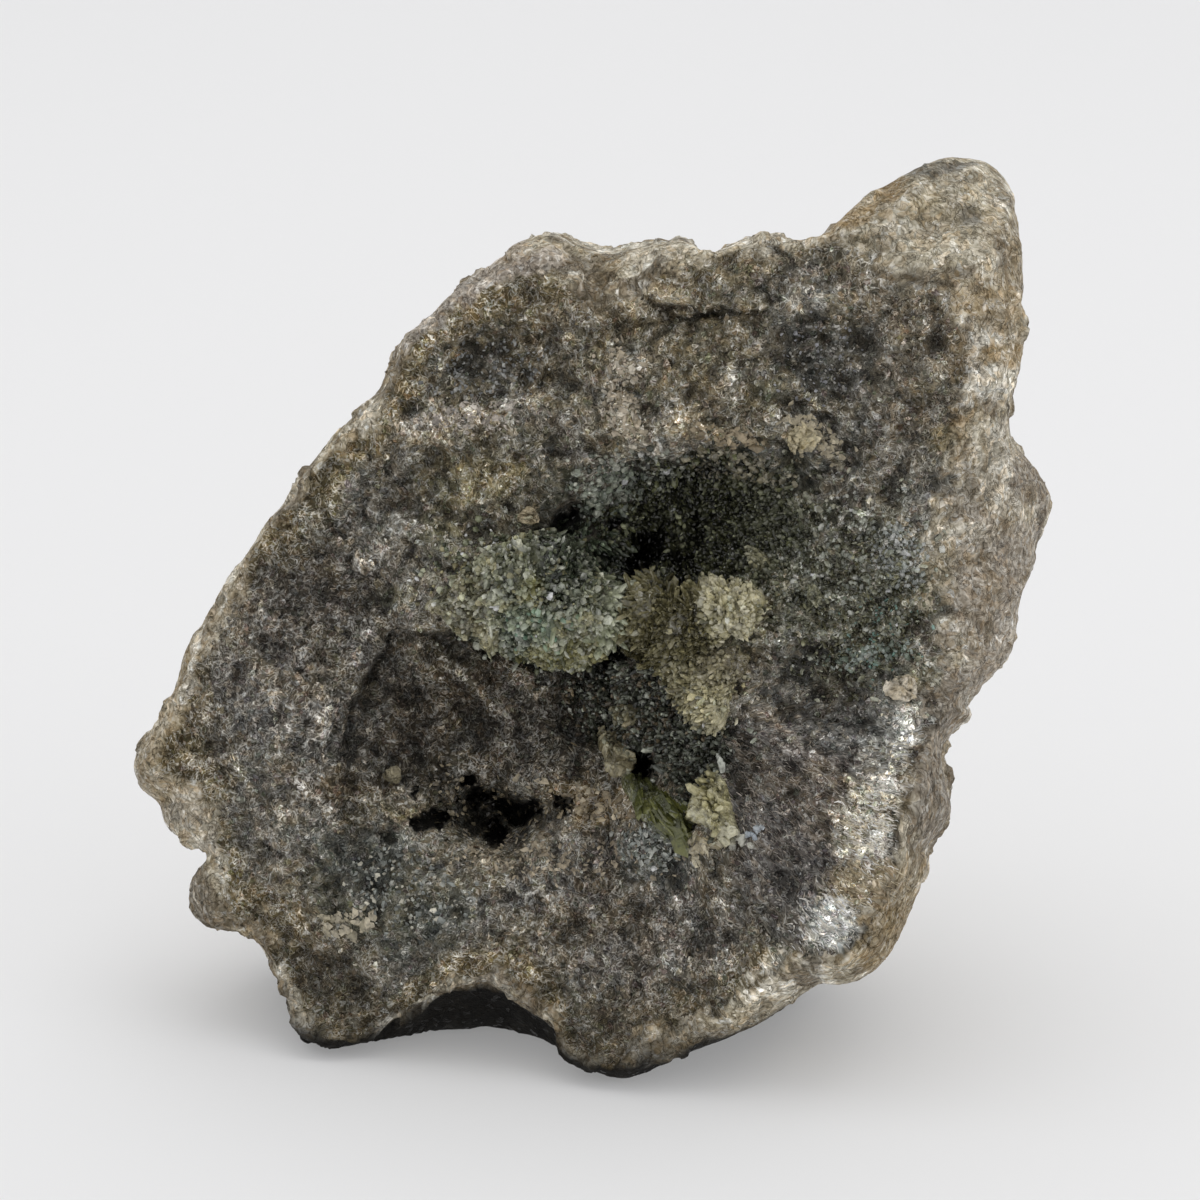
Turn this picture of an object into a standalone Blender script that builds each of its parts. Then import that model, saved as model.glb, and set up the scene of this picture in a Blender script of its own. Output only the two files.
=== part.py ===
"""Anapaite crystal cluster: a broken lump of dark host rock with a pale weathered skin, whose hollows are
lined with green anapaite crystals.

The lump is worked out in a sight frame, in millimetres: x to the right, z up the picture and y away from
the viewer. It is then spread along the lines of sight, leaned back and set down, so that +Z is up, the
table is at z = 0 and the lump stands over the origin.
"""

import math

import bmesh
import bpy
import numpy as np
from mathutils import Matrix, Vector
from mathutils.bvhtree import BVHTree

MM = 0.001

# How the lump stands before the viewer
SIGHT_DOWN_DEG = 20.0
VIEW_DISTANCE = 500.0
SET_DOWN = np.array([1.2, -14.8, 49.4])

# The broken face: its left side and its foot are turned away from the viewer
FACE_YAW_DEG = 14.0
FACE_PITCH_DEG = 8.0
FACE_MIDDLE = np.array([0.0, -2.0])
BACK_DEPTH = 42.0

# Rings run from the middle of the broken face over its rim and the skin's widest line to the middle of the
# back. These are the rim's and the widest line's shares of the way.
RIM_SHARE = 0.42
SKIN_SHARE = 0.54
SEGMENTS = 230
RINGS = 150
ROCK_TRIANGLES = 5500

# Crystals: their crust's thickness and the gap under it
GAP = 0.35
CRUST_THICKNESS = 1.3

# The lump's outline as the viewer sees it, clockwise from the top of the horn
SKIN_OUTLINE = [
    (36.5, 44.1), (38.5, 43.7), (40.2, 42.4), (41.2, 40.3), (41.8, 36.5), (42.3, 31.5), (42.1, 29.8),
    (42.7, 27.5), (41.5, 22.5), (41.0, 19.5), (41.2, 16.2), (43.4, 13.1), (44.7, 11.1), (45.0, 9.7),
    (43.6, 5.5), (43.5, 3.8), (42.0, 0.2), (41.3, -3.8), (40.5, -6.0), (36.6, -10.3), (36.8, -11.6),
    (34.1, -14.8), (34.9, -20.5), (34.4, -22.2), (32.2, -25.1), (32.4, -26.7), (30.5, -32.0),
    (28.2, -36.1), (25.0, -38.1), (21.5, -38.5), (15.7, -42.4), (8.8, -45.2), (4.0, -47.5),
    (2.2, -47.9), (-1.2, -46.9), (-3.2, -45.8), (-4.7, -42.6), (-8.3, -39.8), (-9.5, -38.7),
    (-11.8, -38.1), (-16.8, -39.5), (-20.8, -42.0), (-22.8, -43.8), (-25.8, -44.7), (-28.4, -44.3),
    (-30.4, -42.9), (-31.4, -39.5), (-33.8, -34.4), (-36.2, -33.0), (-39.4, -32.4), (-40.9, -30.4),
    (-40.7, -28.6), (-39.1, -25.3), (-43.0, -23.0), (-44.0, -20.3), (-46.0, -18.2), (-46.2, -15.5),
    (-42.7, -10.0), (-41.4, -4.9), (-38.8, -1.3), (-34.8, 5.4), (-31.7, 9.5), (-30.9, 10.6),
    (-26.5, 16.3), (-22.5, 20.4), (-19.7, 25.2), (-14.5, 30.6), (-9.7, 34.1), (-8.0, 35.8),
    (-4.7, 36.6), (-1.5, 35.3), (2.5, 35.0), (8.0, 35.7), (10.6, 34.5), (14.0, 35.8), (17.0, 36.2),
    (21.8, 36.2), (27.2, 40.5), (33.5, 43.8),
]

# The edge of the broken face, where the pale skin begins
RIM_OUTLINE = [
    (25.0, 35.6), (29.3, 31.3), (33.5, 31.7), (35.2, 31.0), (35.9, 29.0), (36.7, 22.5), (36.5, 19.5),
    (34.5, 13.8), (33.8, 11.0), (32.6, 4.5), (34.1, -1.8), (33.7, -9.0), (34.0, -11.2), (32.2, -16.0),
    (30.0, -21.5), (29.3, -26.8), (27.2, -31.5), (24.5, -35.5), (18.5, -36.8), (14.2, -39.0),
    (13.3, -40.6), (8.5, -42.9), (3.6, -44.7), (1.1, -46.6), (-2.8, -45.3), (-4.3, -42.2),
    (-9.5, -37.5), (-11.5, -37.4), (-16.2, -39.0), (-22.6, -43.3), (-25.5, -44.2), (-30.0, -42.2),
    (-31.8, -37.5), (-34.5, -33.2), (-37.8, -31.2), (-38.4, -25.0), (-40.0, -18.6), (-43.4, -16.8),
    (-43.2, -14.5), (-40.8, -7.8), (-37.3, -0.5), (-32.8, 7.8), (-29.7, 9.5), (-27.5, 13.5),
    (-21.4, 20.8), (-17.2, 27.2), (-12.5, 30.5), (-5.2, 32.8), (-1.0, 29.8), (4.0, 30.7), (6.0, 33.2),
    (11.2, 34.0), (16.5, 35.7), (22.8, 36.0),
]

# Hollows and lumps of the broken face: middle, half sizes, turn in degrees, depth (a lump's is negative) and
# how square the sides are
FACE_FORMS = {
    "crystal hollow": ((8.6, 7.6), (9.6, 6.2), 12, 8.5, 3.0),
    "throat of the hollow": ((4.2, 3.4), (1.7, 4.6), -22, 7.0, 2.5),
    "second throat": ((9.6, 5.2), (1.8, 3.4), -12, 3.5, 2.0),
    "slit left of the hollow": ((-2.4, 7.6), (4.6, 1.5), 24, 3.0, 2.0),
    "pale shelf": ((-6.0, 0.6), (8.5, 5.5), -18, -2.8, 2.5),
    "crystal ridge": ((8.4, -4.8), (7.2, 3.6), -52, -2.4, 2.5),
    "tuft on the ridge": ((14.2, -0.8), (2.6, 2.2), 0, -2.0, 2.0),
    "green field": ((25.5, -2.0), (8.0, 8.5), 0, 1.6, 2.5),
    "lower basin": ((-8.5, -15.0), (16.5, 9.5), -6, 4.6, 2.5),
    "basin's right arm": ((4.0, -10.5), (9.5, 7.5), -35, 4.6, 3.0),
    "round hole": ((4.1, -16.5), (1.5, 1.6), 0, 7.0, 4.0),
    "pit left of the hole": ((0.2, -14.0), (2.0, 1.4), 40, 1.5, 2.0),
    "black pit": ((-11.2, -20.8), (3.4, 2.0), -25, 5.5, 2.5),
    "black pit's tail": ((-6.4, -21.4), (3.2, 1.4), 8, 3.2, 2.0),
    "black pit's left arm": ((-15.6, -20.6), (2.6, 1.4), 10, 2.4, 2.0),
    "rosette's boss": ((6.8, -21.0), (3.2, 2.6), -40, -1.6, 2.0),
    "dark dent, upper left": ((-10.0, 23.6), (6.8, 2.8), 10, 1.7, 2.5),
    "swell under it": ((-12.0, 17.2), (7.5, 2.6), 20, -1.2, 2.0),
    "dark dent, upper right": ((22.4, 24.6), (4.2, 5.4), 30, 1.8, 2.5),
    "swell of pale lumps": ((20.6, 17.0), (4.2, 2.0), -30, -1.3, 2.0),
    "rosy lump": ((2.2, 18.8), (1.8, 3.2), 10, -1.6, 2.5),
    "brow": ((10.5, 32.8), (7.0, 2.6), 4, -1.6, 4.0),
    "left cheek": ((-30.0, -10.0), (8.0, 12.0), 12, -1.2, 2.5),
    "cleft beside the cheek": ((-25.0, 0.5), (7.0, 3.0), -25, 1.2, 2.0),
    "right cheek": ((19.0, -22.0), (11.0, 9.0), -40, -1.8, 2.5),
    "white vein": ((24.5, -29.5), (6.5, 2.4), 58, -0.8, 2.0),
    "slope under the pits": ((-17.0, -32.0), (12.0, 5.0), -10, -1.2, 2.5),
    "middle foot's front": ((2.0, -39.0), (6.0, 5.0), 0, -1.2, 2.5),
}

# Ledges of the broken face: the line of the lip from left to right, and the drop below it at each point
LOWER_LEDGE = [
    (-27.0, -17.0, 0.0), (-25.5, -10.0, 1.6), (-22.5, -5.5, 2.6), (-20.5, -1.5, 3.2), (-17.0, -0.8, 4.0),
    (-13.5, -2.2, 4.8), (-11.0, -4.3, 5.2), (-4.0, -6.5, 5.2), (-0.5, -5.6, 4.6), (1.6, -3.6, 3.6),
    (2.6, -1.0, 0.0),
]
BROW_LEDGE = [(3.5, 31.0, 0.0), (5.5, 29.8, 1.6), (8.5, 28.6, 2.0), (12.0, 28.7, 1.6), (17.5, 28.6, 0.0)]
LOWER_FADE, BROW_FADE = 9.0, 2.5

# The underside arches over the table between three feet: middle and half sizes of each
FEET = [((-25.0, 0.5), (7.0, 6.0)), ((4.0, -10.0), (7.0, 5.5)), ((13.0, 12.5), (9.0, 6.5))]
ARCH_HEIGHT = 7.0
FOOT_DROP = 3.5

# Outlines of the crusts of crystals, in the sight frame
UPPER_CRUST = [
    (-16.5, 0.5), (-14.0, 3.5), (-9.5, 5.5), (-5.5, 7.5), (-3.0, 9.5), (-1.0, 13.0), (4.0, 15.5),
    (9.0, 17.0), (14.0, 14.5), (17.5, 10.0), (18.0, 5.0), (17.0, 0.5), (15.5, -2.5), (13.5, -6.0),
    (13.0, -11.0), (9.5, -12.5), (6.5, -9.0), (3.5, -6.0), (2.2, -3.5), (0.5, -5.0), (-4.0, -6.0),
    (-9.0, -4.4), (-13.0, -1.8),
]
LOWER_CRUST = [
    (-1.0, -12.0), (1.5, -10.0), (4.0, -12.5), (7.5, -13.5), (10.0, -16.0), (13.5, -16.5),
    (14.0, -19.5), (15.5, -22.0), (14.5, -25.0), (10.0, -26.0), (6.5, -26.5), (3.0, -25.0),
    (0.5, -22.0), (-2.5, -21.0), (-3.0, -18.5), (-0.8, -16.0),
]
HOLE_MIDDLE, HOLE_RADIUS = (4.1, -16.5), 2.3

# Groups of crystals on the crusts: middle of the group, its half sizes, how many, their length and width
UPPER_GROUPS = [
    ((-6.5, 0.8), (8.5, 4.6), 26, 2.6, 1.5),
    ((8.5, 7.0), (8.0, 6.5), 22, 2.4, 1.0),
    ((9.0, -5.5), (4.0, 5.5), 14, 2.8, 1.5),
    ((14.0, -1.0), (2.2, 2.0), 7, 2.6, 1.1),
]
LOWER_GROUPS = [
    ((6.6, -21.2), (2.8, 2.4), 9, 3.8, 1.8),
    ((11.6, -19.6), (1.8, 2.2), 8, 3.0, 1.1),
    ((1.4, -14.6), (1.1, 2.2), 4, 2.4, 1.6),
    ((12.5, -23.8), (2.0, 1.4), 5, 1.8, 1.3),
]

# Loose-looking grains on the face: middle, half sizes (the last towards the viewer) and turn in degrees
GRAINS = {
    "cream_nugget": ((30.3, -8.9), (1.55, 1.25, 1.3), 15),
    "cream_lump": ((20.3, 16.3), (1.3, 0.95, 1.0), -10),
    "pale_nodule": ((-7.0, 8.3), (0.95, 0.85, 0.8), 30),
    "ring_nodule": ((-20.7, -17.5), (0.9, 0.85, 0.7), 0),
}


def hashed(cells, seed):
    """A repeatable number from 0 to 1 for each whole-numbered cell."""
    mixed = cells[..., 0] * 374761393 + cells[..., 1] * 668265263 + cells[..., 2] * 2147483629
    mixed = (mixed + seed * 1274126177) & 0xFFFFFFFF
    mixed = ((mixed ^ (mixed >> 13)) * 1274126177) & 0xFFFFFFFF
    return ((mixed ^ (mixed >> 16)) & 0xFFFFFF) / float(0x1000000)


def soft_noise(points, size, seed):
    """Random values on a lattice of the given cell size, blended smoothly between its corners, -1 to 1."""
    scaled = points / size
    cell = np.floor(scaled).astype(np.int64)
    share = scaled - cell
    share = share * share * share * (share * (share * 6 - 15) + 10)
    total = 0.0
    for corner in np.ndindex(2, 2, 2):
        corner = np.array(corner)
        weight = np.prod(np.where(corner, share, 1 - share), axis=-1)
        total = total + weight * hashed(cell + corner, seed)
    return 2 * total - 1


def fractal(points, size, seed, octaves=3, gain=0.5):
    """Soft noise summed over octaves, each at half the size and gain times the height of the last."""
    total, height = 0.0, 1.0
    for octave in range(octaves):
        total = total + height * soft_noise(points, size / 2**octave, seed + octave)
        height *= gain
    return total


def smoothstep(low, high, value):
    share = np.clip((value - low) / (high - low), 0, 1)
    return share * share * (3 - 2 * share)


def closed_curve(points, steps=12):
    """A Catmull-Rom curve round the points, as dense points."""
    p1 = np.array(points)
    p0, p2, p3 = np.roll(p1, 1, 0), np.roll(p1, -1, 0), np.roll(p1, -2, 0)
    t = np.linspace(0, 1, steps, endpoint=False)[None, :, None]
    p0, p1, p2, p3 = (p[:, None, :] for p in (p0, p1, p2, p3))
    curve = p1 + 0.5 * t * (p2 - p0 + t * (2 * p0 - 5 * p1 + 4 * p2 - p3 + t * (3 * (p1 - p2) + p3 - p0)))
    return curve.reshape(-1, 2)


def reach(outline, bearing):
    """How far the outline is from the face's middle, at each bearing."""
    offset = closed_curve(outline) - FACE_MIDDLE
    angle = np.arctan2(offset[:, 1], offset[:, 0])
    order = np.argsort(angle)
    return np.interp(bearing, angle[order], np.hypot(*offset.T)[order], period=2 * math.pi)


def dome(x, z, middle, half_sizes, turn_deg=0.0, power=2.0):
    """1 at the middle of an ellipse, falling to 0 outside it: exp of minus the elliptical distance to the
    given power."""
    turn = math.radians(turn_deg)
    dx, dz = x - middle[0], z - middle[1]
    along = (dx * math.cos(turn) + dz * math.sin(turn)) / half_sizes[0]
    across = (dz * math.cos(turn) - dx * math.sin(turn)) / half_sizes[1]
    return np.exp(-(np.hypot(along, across) ** power))


def ledge_drop(x, z, ledge, softness, fade):
    """Extra depth below a ledge's lip: the drop at that x, dying away with the distance below the lip."""
    xs, zs, drops = np.array(ledge).T
    below = np.interp(x, xs, zs) - z
    return np.interp(x, xs, drops) * smoothstep(-softness, softness, below) * np.exp(-np.clip(below, 0, None) / fade)


def face_depth(x, z):
    """Depth of the broken face behind the sight plane: a turned plane, the named forms, the drops of the
    ledges and the rough fracture. Places are swayed a little first, so that no form has an even edge."""
    flat = np.stack([x, z, np.zeros_like(x)], axis=-1)
    wx = x + 1.1 * fractal(flat, 6.0, 11)
    wz = z + 1.1 * fractal(flat, 6.0, 21)
    depth = -x * math.tan(math.radians(FACE_YAW_DEG)) - z * math.tan(math.radians(FACE_PITCH_DEG))
    for middle, half_sizes, turn_deg, sink, power in FACE_FORMS.values():
        depth = depth + sink * dome(wx, wz, middle, half_sizes, turn_deg, power)
    depth = depth + ledge_drop(wx, wz, LOWER_LEDGE, 0.5, LOWER_FADE)
    depth = depth + ledge_drop(wx, wz, BROW_LEDGE, 0.3, BROW_FADE)
    return depth + 0.9 * fractal(flat, 11.0, 31) + 0.4 * fractal(flat, 2.6, 41)


def lump_points(bearing, share):
    """Points of the lump in the sight frame. share runs from 0 at the middle of the broken face over the rim
    and the widest line of the skin to 1 at the middle of the back."""
    skin = reach(SKIN_OUTLINE, bearing)
    rim = np.minimum(reach(RIM_OUTLINE, bearing), skin - 0.35)
    cos, sin = np.cos(bearing), np.sin(bearing)
    on_face = np.clip(share / RIM_SHARE, 0, 1)
    band = np.clip((share - RIM_SHARE) / (SKIN_SHARE - RIM_SHARE), 0, 1)
    back = np.clip((share - SKIN_SHARE) / (1 - SKIN_SHARE), 0, 1)

    # The broken face, rolling over at its rim
    radius = rim * on_face
    depth = face_depth(FACE_MIDDLE[0] + radius * cos, FACE_MIDDLE[1] + radius * sin) + 0.8 * on_face**14

    # A quarter turn over the skin, out to its widest line
    width = skin - rim
    sweep = band * math.pi / 2
    radius = radius + width * np.sin(sweep)
    depth = depth + (3.4 + 1.15 * width) * (1 - np.cos(sweep))

    # The back closes as a superellipse, squarer below so that the lump can stand, and plainer in outline
    power = 2.2 + 3.0 * smoothstep(0.35, 0.95, -sin)
    spans = np.linspace(-0.6, 0.6, 13)
    plain = sum(reach(SKIN_OUTLINE, bearing + span) for span in spans) / len(spans)
    hull = skin + (np.minimum(skin, plain - 0.8) - skin) * smoothstep(0, 0.3, back)
    turn_in = np.cos(back * math.pi / 2) ** (2 / power)
    go_back = np.sin(back * math.pi / 2) ** (2 / power)
    radius = np.where(back > 0, hull * turn_in, radius)
    depth = np.where(back > 0, depth + (BACK_DEPTH - depth) * go_back, depth)

    # Knobs of the weathered skin
    points = np.stack([radius * cos, radius * sin, depth], axis=-1)
    behind = smoothstep(0.0, 0.25, back)
    knobs = behind * (2.4 * fractal(points, 15.0, 51) + 0.8 * fractal(points, 4.6, 61, 2))
    radius = radius + knobs * turn_in
    depth = depth + knobs * go_back * (1 - turn_in)
    return np.stack([FACE_MIDDLE[0] + radius * cos, depth, FACE_MIDDLE[1] + radius * sin], axis=-1)


def stand(points):
    """Sight-frame points, spread along the lines of sight, leaned back and set down on the table."""
    x, y, z = np.moveaxis(points, -1, 0)
    spread = 1 + y / VIEW_DISTANCE
    x, z = x * spread, z * spread
    down = math.radians(SIGHT_DOWN_DEG)
    return np.stack([x, y * math.cos(down) + z * math.sin(down), z * math.cos(down) - y * math.sin(down)], -1) + SET_DOWN


def sighted(points):
    """The other way round: x and z in the sight frame of points on the standing lump."""
    x, y, z = np.moveaxis(points - SET_DOWN, -1, 0)
    down = math.radians(SIGHT_DOWN_DEG)
    depth = y * math.cos(down) - z * math.sin(down)
    height = y * math.sin(down) + z * math.cos(down)
    spread = 1 + depth / VIEW_DISTANCE
    return x / spread, height / spread


EYE = Vector(stand(np.array([0.0, -VIEW_DISTANCE, 0.0]))) * MM


def arch_underside(placed, behind):
    """Raises the back part of the underside to an arch that comes down to the table at the feet only."""
    x, y, z = placed.T
    feet = sum(dome(x, y, middle, half_sizes, 0, 2.5) for middle, half_sizes in FEET)
    arch = ARCH_HEIGHT * (1 - 1.45 * feet) + 1.2 * fractal(placed, 7.0, 71)
    low = smoothstep(20, 5, z)
    shaped = np.maximum(z - FOOT_DROP * feet * low, arch)
    placed[:, 2] = z + (shaped - z) * behind
    return placed


def inside(x, z, outline):
    """True where points lie in a closed outline, by counting the sides that they are left of."""
    ring = np.array(outline)
    ax, az = ring.T
    bx, bz = np.roll(ring, -1, 0).T
    crosses = (az > z[..., None]) != (bz > z[..., None])
    run = np.where(bz == az, 1, bz - az)
    left = x[..., None] < ax + (z[..., None] - az) * (bx - ax) / run
    return (crosses & left).sum(axis=-1) % 2 == 1


def clear_scene():
    for obj in list(bpy.data.objects):
        bpy.data.objects.remove(obj)


def material(name, colour, roughness):
    made = bpy.data.materials.new(name)
    made.use_nodes = True
    shader = made.node_tree.nodes["Principled BSDF"]
    shader.inputs["Base Color"].default_value = (*colour, 1)
    shader.inputs["Roughness"].default_value = roughness
    shader.inputs["Metallic"].default_value = 0.0
    return made


def collection(name, hidden=False):
    made = bpy.data.collections.new(name)
    bpy.context.scene.collection.children.link(made)
    made.hide_render = hidden
    return made


def mesh_object(name, bm, home):
    mesh = bpy.data.meshes.new(name)
    bm.to_mesh(mesh)
    bm.free()
    obj = bpy.data.objects.new(name, mesh)
    home.objects.link(obj)
    return obj


def apply_modifiers(obj):
    graph = bpy.context.evaluated_depsgraph_get()
    mesh = bpy.data.meshes.new_from_object(obj.evaluated_get(graph))
    obj.modifiers.clear()
    obj.data = mesh


def make_rock(specimen):
    """A sphere whose vertices are moved to the lump's points, thinned to few flat facets, and cut flat where
    it meets the table."""
    bm = bmesh.new()
    bmesh.ops.create_uvsphere(bm, u_segments=SEGMENTS, v_segments=RINGS, radius=1)
    ball = np.array([vert.co for vert in bm.verts])
    bearing = np.arctan2(ball[:, 1], ball[:, 0])
    share = np.arccos(np.clip(ball[:, 2], -1, 1)) / math.pi
    placed = stand(lump_points(bearing, share))
    placed = arch_underside(placed, smoothstep(SKIN_SHARE, SKIN_SHARE + 0.05, share)) * MM
    for vert, place in zip(bm.verts, placed):
        vert.co = place
    bmesh.ops.triangulate(bm, faces=bm.faces)
    bmesh.ops.recalc_face_normals(bm, faces=bm.faces)
    start_triangles = len(bm.faces)
    rock = mesh_object("matrix_rock", bm, specimen)
    thin = rock.modifiers.new("few facets", "DECIMATE")
    thin.ratio = ROCK_TRIANGLES / start_triangles
    apply_modifiers(rock)
    bm = bmesh.new()
    bm.from_mesh(rock.data)
    everything = bm.verts[:] + bm.edges[:] + bm.faces[:]
    cut = bmesh.ops.bisect_plane(bm, geom=everything, plane_co=(0, 0, 0), plane_no=(0, 0, 1), clear_inner=True)
    edges = [item for item in cut["geom_cut"] if isinstance(item, bmesh.types.BMEdge)]
    bmesh.ops.holes_fill(bm, edges=edges)
    bmesh.ops.triangulate(bm, faces=bm.faces)
    bmesh.ops.recalc_face_normals(bm, faces=bm.faces)
    bm.to_mesh(rock.data)
    bm.free()
    return rock


def largest_island(bm):
    """Deletes all but the largest set of joined faces."""
    left, best = set(bm.faces), []
    while left:
        island, edge_of = [], [left.pop()]
        while edge_of:
            face = edge_of.pop()
            island.append(face)
            for edge in face.edges:
                for other in edge.link_faces:
                    if other in left:
                        left.remove(other)
                        edge_of.append(other)
        best = max(best, island, key=len)
    bmesh.ops.delete(bm, geom=list(set(bm.faces) - set(best)), context="FACES")


def towards_eye(place, distance):
    return place + (EYE - place).normalized() * distance * MM


def make_crust(name, rock, covers, specimen):
    """A crust that follows the rock's own facets: those that it covers, moved towards the viewer by the gap
    and thickened."""
    bm = bmesh.new()
    bm.from_mesh(rock.data)
    bm.normal_update()
    middles = np.array([face.calc_center_median() for face in bm.faces]) / MM
    chosen = covers(*sighted(middles))
    facing = [face.normal.dot((EYE - face.calc_center_median()).normalized()) > 0.08 for face in bm.faces]
    others = [face for face, keep, turned in zip(bm.faces, chosen, facing) if not (keep and turned)]
    bmesh.ops.delete(bm, geom=others, context="FACES")
    largest_island(bm)
    # Where two facets meet in a single point, the corner between them is filled by dropping them
    pinched = [v for v in bm.verts if sum(edge.is_boundary for edge in v.link_edges) > 2]
    while pinched:
        bmesh.ops.delete(bm, geom=list({f for v in pinched for f in v.link_faces}), context="FACES")
        largest_island(bm)
        pinched = [v for v in bm.verts if sum(edge.is_boundary for edge in v.link_edges) > 2]
    for vert in bm.verts:
        vert.co = towards_eye(vert.co, GAP)
    grown = bmesh.ops.extrude_face_region(bm, geom=bm.faces[:], use_keep_orig=True)
    for item in grown["geom"]:
        if isinstance(item, bmesh.types.BMVert):
            item.co = towards_eye(item.co, CRUST_THICKNESS)
    bmesh.ops.recalc_face_normals(bm, faces=bm.faces)
    return mesh_object(name, bm, specimen)


def add_crystal(bm, foot, direction, length, width, spin, corners, rock_tree):
    """A flattened, slightly tapering prism with a blunt end, its foot sunk in the crust. It is left out where
    it would run into the rock beside the crust."""
    lie = direction.to_track_quat("Z", "Y").to_matrix().to_4x4()
    flat = Matrix.Diagonal((1, 0.45, 1, 1))
    turn = Matrix.Rotation(spin, 4, "Z")
    up = Matrix.Translation((0, 0, length / 2))
    place = Matrix.Translation(foot) @ lie @ turn @ flat @ up
    made = bmesh.ops.create_cone(
        bm, cap_ends=True, segments=corners, radius1=width / 2, radius2=width / 5, depth=length, matrix=place
    )
    for vert in made["verts"]:
        line = vert.co - EYE
        if (rock_tree.ray_cast(EYE, line.normalized())[0] - EYE).length < line.length + 0.6 * GAP * MM:
            bmesh.ops.delete(bm, geom=made["verts"], context="VERTS")
            return


def surface_tree(obj):
    surface = bmesh.new()
    surface.from_mesh(obj.data)
    surface.normal_update()
    tree = BVHTree.FromBMesh(surface)
    surface.free()
    return tree


def grow_crystals(crust, rock, groups, seed, helpers):
    """Crystals standing on the crust, group by group, and fused to it."""
    tree, rock_tree = surface_tree(crust), surface_tree(rock)
    pick = np.random.default_rng(seed)
    bm = bmesh.new()
    for middle, half_sizes, count, length, width in groups:
        for _ in range(count):
            distance, bearing = math.sqrt(pick.random()), pick.random() * 2 * math.pi
            x = middle[0] + half_sizes[0] * distance * math.cos(bearing)
            z = middle[1] + half_sizes[1] * distance * math.sin(bearing)
            aim = Vector(stand(np.array([x, 0.0, z]))) * MM - EYE
            place, normal, _, _ = tree.ray_cast(EYE, aim.normalized())
            if place is None or normal.dot((EYE - place).normalized()) < 0.5:
                continue
            lean = Vector(pick.uniform(-0.45, 0.45, 3))
            direction = (normal + lean).normalized()
            size = pick.uniform(0.7, 1.2) * MM
            foot = towards_eye(place, -0.4)
            corners = int(pick.integers(4, 7))
            spin = pick.uniform(0, math.pi)
            add_crystal(bm, foot, direction, length * size, width * size, spin, corners, rock_tree)
    crystals = mesh_object(crust.name + "_crystals", bm, helpers)
    crystals.display_type = "WIRE"
    join = crust.modifiers.new("crystals", "BOOLEAN")
    join.operation = "UNION"
    join.solver = "EXACT"
    join.use_self = True
    join.object = crystals
    apply_modifiers(crust)


def make_grain(name, middle, half_sizes, turn_deg, rock, specimen):
    """A small lump that sits on the face, its back following the rock with a gap."""
    tree = surface_tree(rock)
    bm = bmesh.new()
    bmesh.ops.create_icosphere(bm, subdivisions=2, radius=1)
    ball = np.array([vert.co for vert in bm.verts])
    rough = 1 + 0.16 * fractal(ball + 7 * middle[0], 0.9, 81)
    turn = math.radians(turn_deg)
    x, y, z = ball.T * rough * np.array([half_sizes[0], half_sizes[2], half_sizes[1]])[:, None]
    x, z = x * math.cos(turn) - z * math.sin(turn), z * math.cos(turn) + x * math.sin(turn)
    at_zero_depth = stand(np.stack([middle[0] + x, np.zeros_like(x), middle[1] + z], axis=-1)) * MM
    lines = [(Vector(place) - EYE).normalized() for place in at_zero_depth]
    rock_far = np.array([(tree.ray_cast(EYE, line)[0] - EYE).length for line in lines])
    far = rock_far.mean() + (y - 0.3 * half_sizes[2]) * MM
    for vert, line, distance in zip(bm.verts, lines, np.minimum(far, rock_far - GAP * MM)):
        vert.co = EYE + line * distance
    return mesh_object(name, bm, specimen)


def main():
    clear_scene()
    specimen = collection("anapaite_cluster")
    helpers = collection("crystals_before_joining", hidden=True)
    rock = make_rock(specimen)
    rock.data.materials.append(material("host rock", (0.11, 0.1, 0.08), 0.85))

    upper = make_crust("upper_hollow_crystals", rock, lambda x, z: inside(x, z, UPPER_CRUST), specimen)
    grow_crystals(upper, rock, UPPER_GROUPS, 5, helpers)
    upper.data.materials.append(material("pale green anapaite", (0.2, 0.24, 0.12), 0.25))

    def around_the_hole(x, z):
        outside_hole = np.hypot(x - HOLE_MIDDLE[0], z - HOLE_MIDDLE[1]) > HOLE_RADIUS
        return inside(x, z, LOWER_CRUST) & outside_hole

    lower = make_crust("lower_hollow_crystals", rock, around_the_hole, specimen)
    grow_crystals(lower, rock, LOWER_GROUPS, 9, helpers)
    lower.data.materials.append(material("olive anapaite", (0.14, 0.16, 0.05), 0.3))

    for name, (middle, half_sizes, turn_deg) in GRAINS.items():
        grain = make_grain(name, middle, half_sizes, turn_deg, rock, specimen)
        grain.data.materials.append(material(name.replace("_", " "), (0.6, 0.55, 0.42), 0.6))


main()
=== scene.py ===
"""Anapaite crystal cluster: a broken lump of dark host rock with a pale weathered skin, its hollows lined
with green anapaite crystals, on a plain pale table."""

import math

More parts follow.
